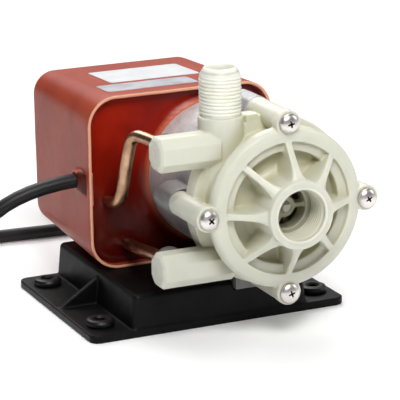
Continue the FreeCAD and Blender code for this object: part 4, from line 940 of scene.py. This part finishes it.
def pottingHeight(x, z):
    p = potting
    h = p["face"] + p["wallCling"] * math.exp(-max(wallGap(x, z, p["face"]), 0) / p["wallReach"])
    gap = math.hypot(x - pumpAxis["right"], z - pumpAxis["up"]) - p["bracketRadius"]
    if gap < 0:
        h += p["bracketCling"]
    else:
        h += p["bracketCling"] * math.exp(-((gap / p["bracketReach"]) ** 1.3))
    for legX, legZ, up in p["legs"]:
        d = max(math.hypot(x - legX, z - legZ) - p["legRadius"], 0)
        h += up * math.exp(-d / p["legReach"])
    (broad, broadWaves, broadSeed), (fine, fineWaves, fineSeed) = p["ripples"]
    h += (broad * noise.noise(Vector((x * broadWaves, z * broadWaves, broadSeed)))
          + fine * noise.noise(Vector((x * fineWaves, z * fineWaves, fineSeed))))
    return h


def makePotting():
    p = potting
    outline = shellLoop(p["face"], shell["wall"] - p["wallOverlap"])
    middle = Vector((0, 0, (shell["low"] + shell["height"] / 2) * mm))
    loops = [[Vector((v.x, back * mm, v.z)) for v in outline] for back in p["skirt"]]
    for k in range(p["rings"]):
        scale = 1 - (k / p["rings"]) ** p["crowding"]
        ring = []
        for v in outline:
            q = middle + (Vector((v.x, 0, v.z)) - middle) * scale
            ring.append(Vector((q.x, -pottingHeight(q.x / mm, q.z / mm) * mm, q.z)))
        loops.append(ring)
    verts, faces = skinLoops(loops, True, True)
    newPiece("castPotting", meshFrom("castPotting", verts, faces), "red_epoxy", replaced=["epoxy_potting"])


makePotting()
print("shell and potting made")


# bent cooling tube: two legs, each from a port of the head into the resin; millimetres
coolingTube = {
    "radius": 3.175,
    "upper": [(-32, -66, 99.1), (-32, -56, 99.1), (-33.5, -42, 99.3), (-36.8, -28.5, 99.6), (-38.6, -25, 86),
              (-39.6, -23, 75), (-40.2, -18.5, 62.5), (-40.8, -9, 58.5), (-41, 3, 57.5)],
    "lower": [(-32, -66, 39.5), (-32, -54, 39.5), (-31.6, -38, 38.4), (-31, -20, 35.6), (-30.5, -6, 34),
              (-30.5, 3, 34)],
}


def makeTube():
    legs = [coolingTube["upper"], coolingTube["lower"]]
    raw = roundLine("copperTube", "raw", legs, coolingTube["radius"], 8, 12)
    newPiece("copperTube", settledMesh(raw), "copper_tube", replaced=["cooling_tube"])


makeTube()

# port seals: bushings with a rounded lip, in the back of each square port
portSeals = {
    # node, and share of its radius
    "pieces": {"upperPortSeal": ("upper_port_seal", 0.84), "lowerPortSeal": ("lower_port_seal", 0.97)},
    # shares of the radius and of the length
    "lip": ((1.0, 0.0), (1.0, 0.46), (0.97, 0.70), (0.89, 0.89), (0.78, 0.98), (0.66, 1.0), (0.50, 1.0),
            (0.44, 0.90)),
    "bore": 3.3,
    "around": 64,
}


def makePortSeals():
    s = portSeals
    for name, (node, size) in s["pieces"].items():
        corners = [nodes[node].matrix_world @ Vector(c) for c in nodes[node].bound_box]
        low = [min(c[i] for c in corners) for i in range(3)]
        high = [max(c[i] for c in corners) for i in range(3)]
        middleX, middleZ = (low[0] + high[0]) / 2, (low[2] + high[2]) / 2
        radius = (high[0] - low[0]) / 2 * size
        section = [(radius * share, low[1] + (high[1] - low[1]) * along) for share, along in s["lip"]]
        section += [(s["bore"] * mm, section[-1][1]), (s["bore"] * mm, low[1])]
        rings = [[Vector((middleX + r * math.cos(turn), y, middleZ + r * math.sin(turn))) for r, y in section]
                 for turn in turnsRound(s["around"])]
        verts, faces = skinLoops(rings, closeRound=True)
        newPiece(name, meshFrom(name, verts, faces), slotOf[node], replaced=[node], finish=greyRubber)


makePortSeals()
print("cooling tube and its seals made")

# moulded spout where the cord leaves the left wall, flaring towards the rim; millimetres
boss = {
    "tipX": -55.1,
    "wallX": -51.2,
    "cordBack": 8.0,
    "cordHigh": 69.0,
    "tipRadius": 5.4,
    "tipRound": 0.35,
    # reach of the root's sides from the cord
    "rootForward": 13.6,
    "rootRear": 6.2,
    "rootHigh": 6.2,
    "rootLow": 12.5,
    "rootRearLow": 6.2,
    "rootShare": 0.97,
    "hole": 3.95,
    "holeRound": 0.5,
    "holeStep": 0.6,
    "intoWall": 1.2,
    "around": 72,
    "steps": 10,
    # part of the ramp in the dark resin's light: forward of this, and above this
    "shadeForward": 3.0,
    "shadeLow": -6.2,
}


def makeBoss():
    b = boss
    tip, hole, tipX = b["tipRadius"], b["hole"], b["tipX"]
    slant = (b["rootLow"] - b["rootRearLow"]) / (b["rootForward"] + b["rootRear"])

    # how far the root's four straight sides lie from the cord, in one direction
    def rootReach(c, s):
        reach = []
        if abs(c) > 1e-6:
            reach.append(b["rootForward"] / c if c > 0 else -b["rootRear"] / c)
        if s > 1e-6:
            reach.append(b["rootHigh"] / s)
        fall = s + slant * c
        if fall < -1e-6:
            reach.append(-(b["rootLow"] - slant * b["rootForward"]) / fall)
        return min(reach)

    # ring round the cord: of one radius, or part of the way from the tip to the root
    def ring(x, part=None, r=0.0):
        made = []
        for a in turnsRound(b["around"]):
            c, s = math.cos(a), math.sin(a)
            d = r if part is None else tip + (rootReach(c, s) - tip) * part
            made.append(Vector((x * mm, (b["cordBack"] - c * d) * mm, (b["cordHigh"] + s * d) * mm)))
        return made

    inner = b["wallX"] + b["intoWall"]
    rampStart = tipX + b["tipRound"]
    loops = [ring(inner, r=hole), ring(tipX + b["holeStep"], r=hole), ring(tipX, r=hole + b["holeRound"]),
             ring(tipX, r=tip - b["holeRound"]), ring(rampStart, r=tip)]
    for k in range(1, b["steps"] + 1):
        part = k / b["steps"]
        loops.append(ring(rampStart + (b["wallX"] - tipX + 0.5) * part, part))
    loops.append(ring(inner, b["rootShare"]))
    verts, faces = skinLoops(loops, False, False, True)
    spout = newPiece("cordSpout", meshFrom("cordSpout", verts, faces), "red_shell", replaced=["cord_boss"])
    # the ramp towards the rim faces the dark resin and never catches the light
    spout.data.materials.append(spoutShade)
    for face in spout.data.polygons:
        forward, up = b["cordBack"] - face.center.y / mm, face.center.z / mm - b["cordHigh"]
        inShade = forward > b["shadeForward"] and b["shadeLow"] < up < b["rootHigh"] - 0.5
        if inShade and face.normal.x < 0:
            face.material_index = 1


makeBoss()


# domed screws with a cross recess, each stopped at its own angle; millimetres
screw = {
    "circle": 43.7,
    "seat": 91.0,
    "radius": 5.1,
    "high": 3.5,
    "skirt": 0.6,
    "underRound": 0.25,
    "domePower": 2.1,
    "shank": 2.2,
    "reach": 47.0,
    "armLong": 1.9,
    "armHalf": 0.46,
    "armTaper": (1.15, 0.3),
    "armEdge": 0.16,
    "armEnd": 0.3,
    "recess": 2.3,
    "recessRise": 0.55,
    "turns": (0.55, 0.2, 0.75, 0.3),
    "around": 128,
    "rings": 44,
    "rimRings": 14,
}


# ring radii from the rim to the middle: crowded at the rim, then even
def domeRadii():
    s = screw
    count, rim = s["rings"], s["rimRings"]
    radii = [s["radius"] * math.sin(math.pi / 2 * (1 - k / count)) for k in range(rim + 1)]
    last = radii.pop()
    return radii + [max(last * (count - k) / (count - rim), 0.01) for k in range(rim, count + 1)]


# height of a screw's top over its seat at one place, with the cross cut in
def screwTop(r, a, turned):
    s = screw
    dome = s["skirt"] + (s["high"] - s["skirt"]) * (1 - (r / s["radius"]) ** s["domePower"]) ** 0.5
    u, v = abs(r * math.cos(a - turned)), abs(r * math.sin(a - turned))
    long, wide = max(u, v), min(u, v)
    atMiddle, narrower = s["armTaper"]
    half = s["armHalf"] * (atMiddle - narrower * long / s["armLong"])
    inArm = min(max((half - wide) / s["armEdge"], 0), 1) * min(max((s["armLong"] - long) / s["armEnd"], 0), 1)
    return dome - s["recess"] * (1 - s["recessRise"] * long / s["armLong"]) * inArm


def makeScrews():
    s = screw
    verts, faces = [], []
    turns = turnsRound(s["around"])
    seat, radius = s["seat"], s["radius"]
    outline = ((s["shank"], seat - s["reach"]), (s["shank"], seat), (radius - s["underRound"], seat),
               (radius, seat + s["underRound"]), (radius, seat + s["skirt"]))
    for n, turned in enumerate(s["turns"]):
        at = math.pi / 2 * n
        cx, cy = s["circle"] * math.cos(at), s["circle"] * math.sin(at)
        loops = [[onAxis(cx + r * math.cos(a), cy + r * math.sin(a), z) for a in turns] for r, z in outline]
        for r in domeRadii():
            loops.append([onAxis(cx + r * math.cos(a), cy + r * math.sin(a), seat + screwTop(r, a, turned))
                          for a in turns])
        v, f = skinLoops(loops)
        base = len(verts)
        verts += v
        faces += [tuple(i + base for i in face) for face in f]
    newPiece("coverScrews", meshFrom("coverScrews", verts, faces), "stainless", replaced=["cover_screws"])


makeScrews()
print("spout and screws made")

# matt paper floor, faintly lit from within so that it stays as pale as a studio sweep
paper = Finish("paleFloor")
paper.set(Base_Color=(*[studio["floorTone"]] * 3, 1), Roughness=studio["floorRough"],
          Emission_Color=(1, 1, 1, 1), Emission_Strength=studio["floorGlow"])
floor.data.materials.clear()
floor.data.materials.append(paper.mat)

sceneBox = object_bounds()
{"cad": [list(c) for c in cadBox], "scene": [list(c) for c in sceneBox]}
print("cad box", [list(c) for c in cadBox], "scene box", [list(c) for c in sceneBox])
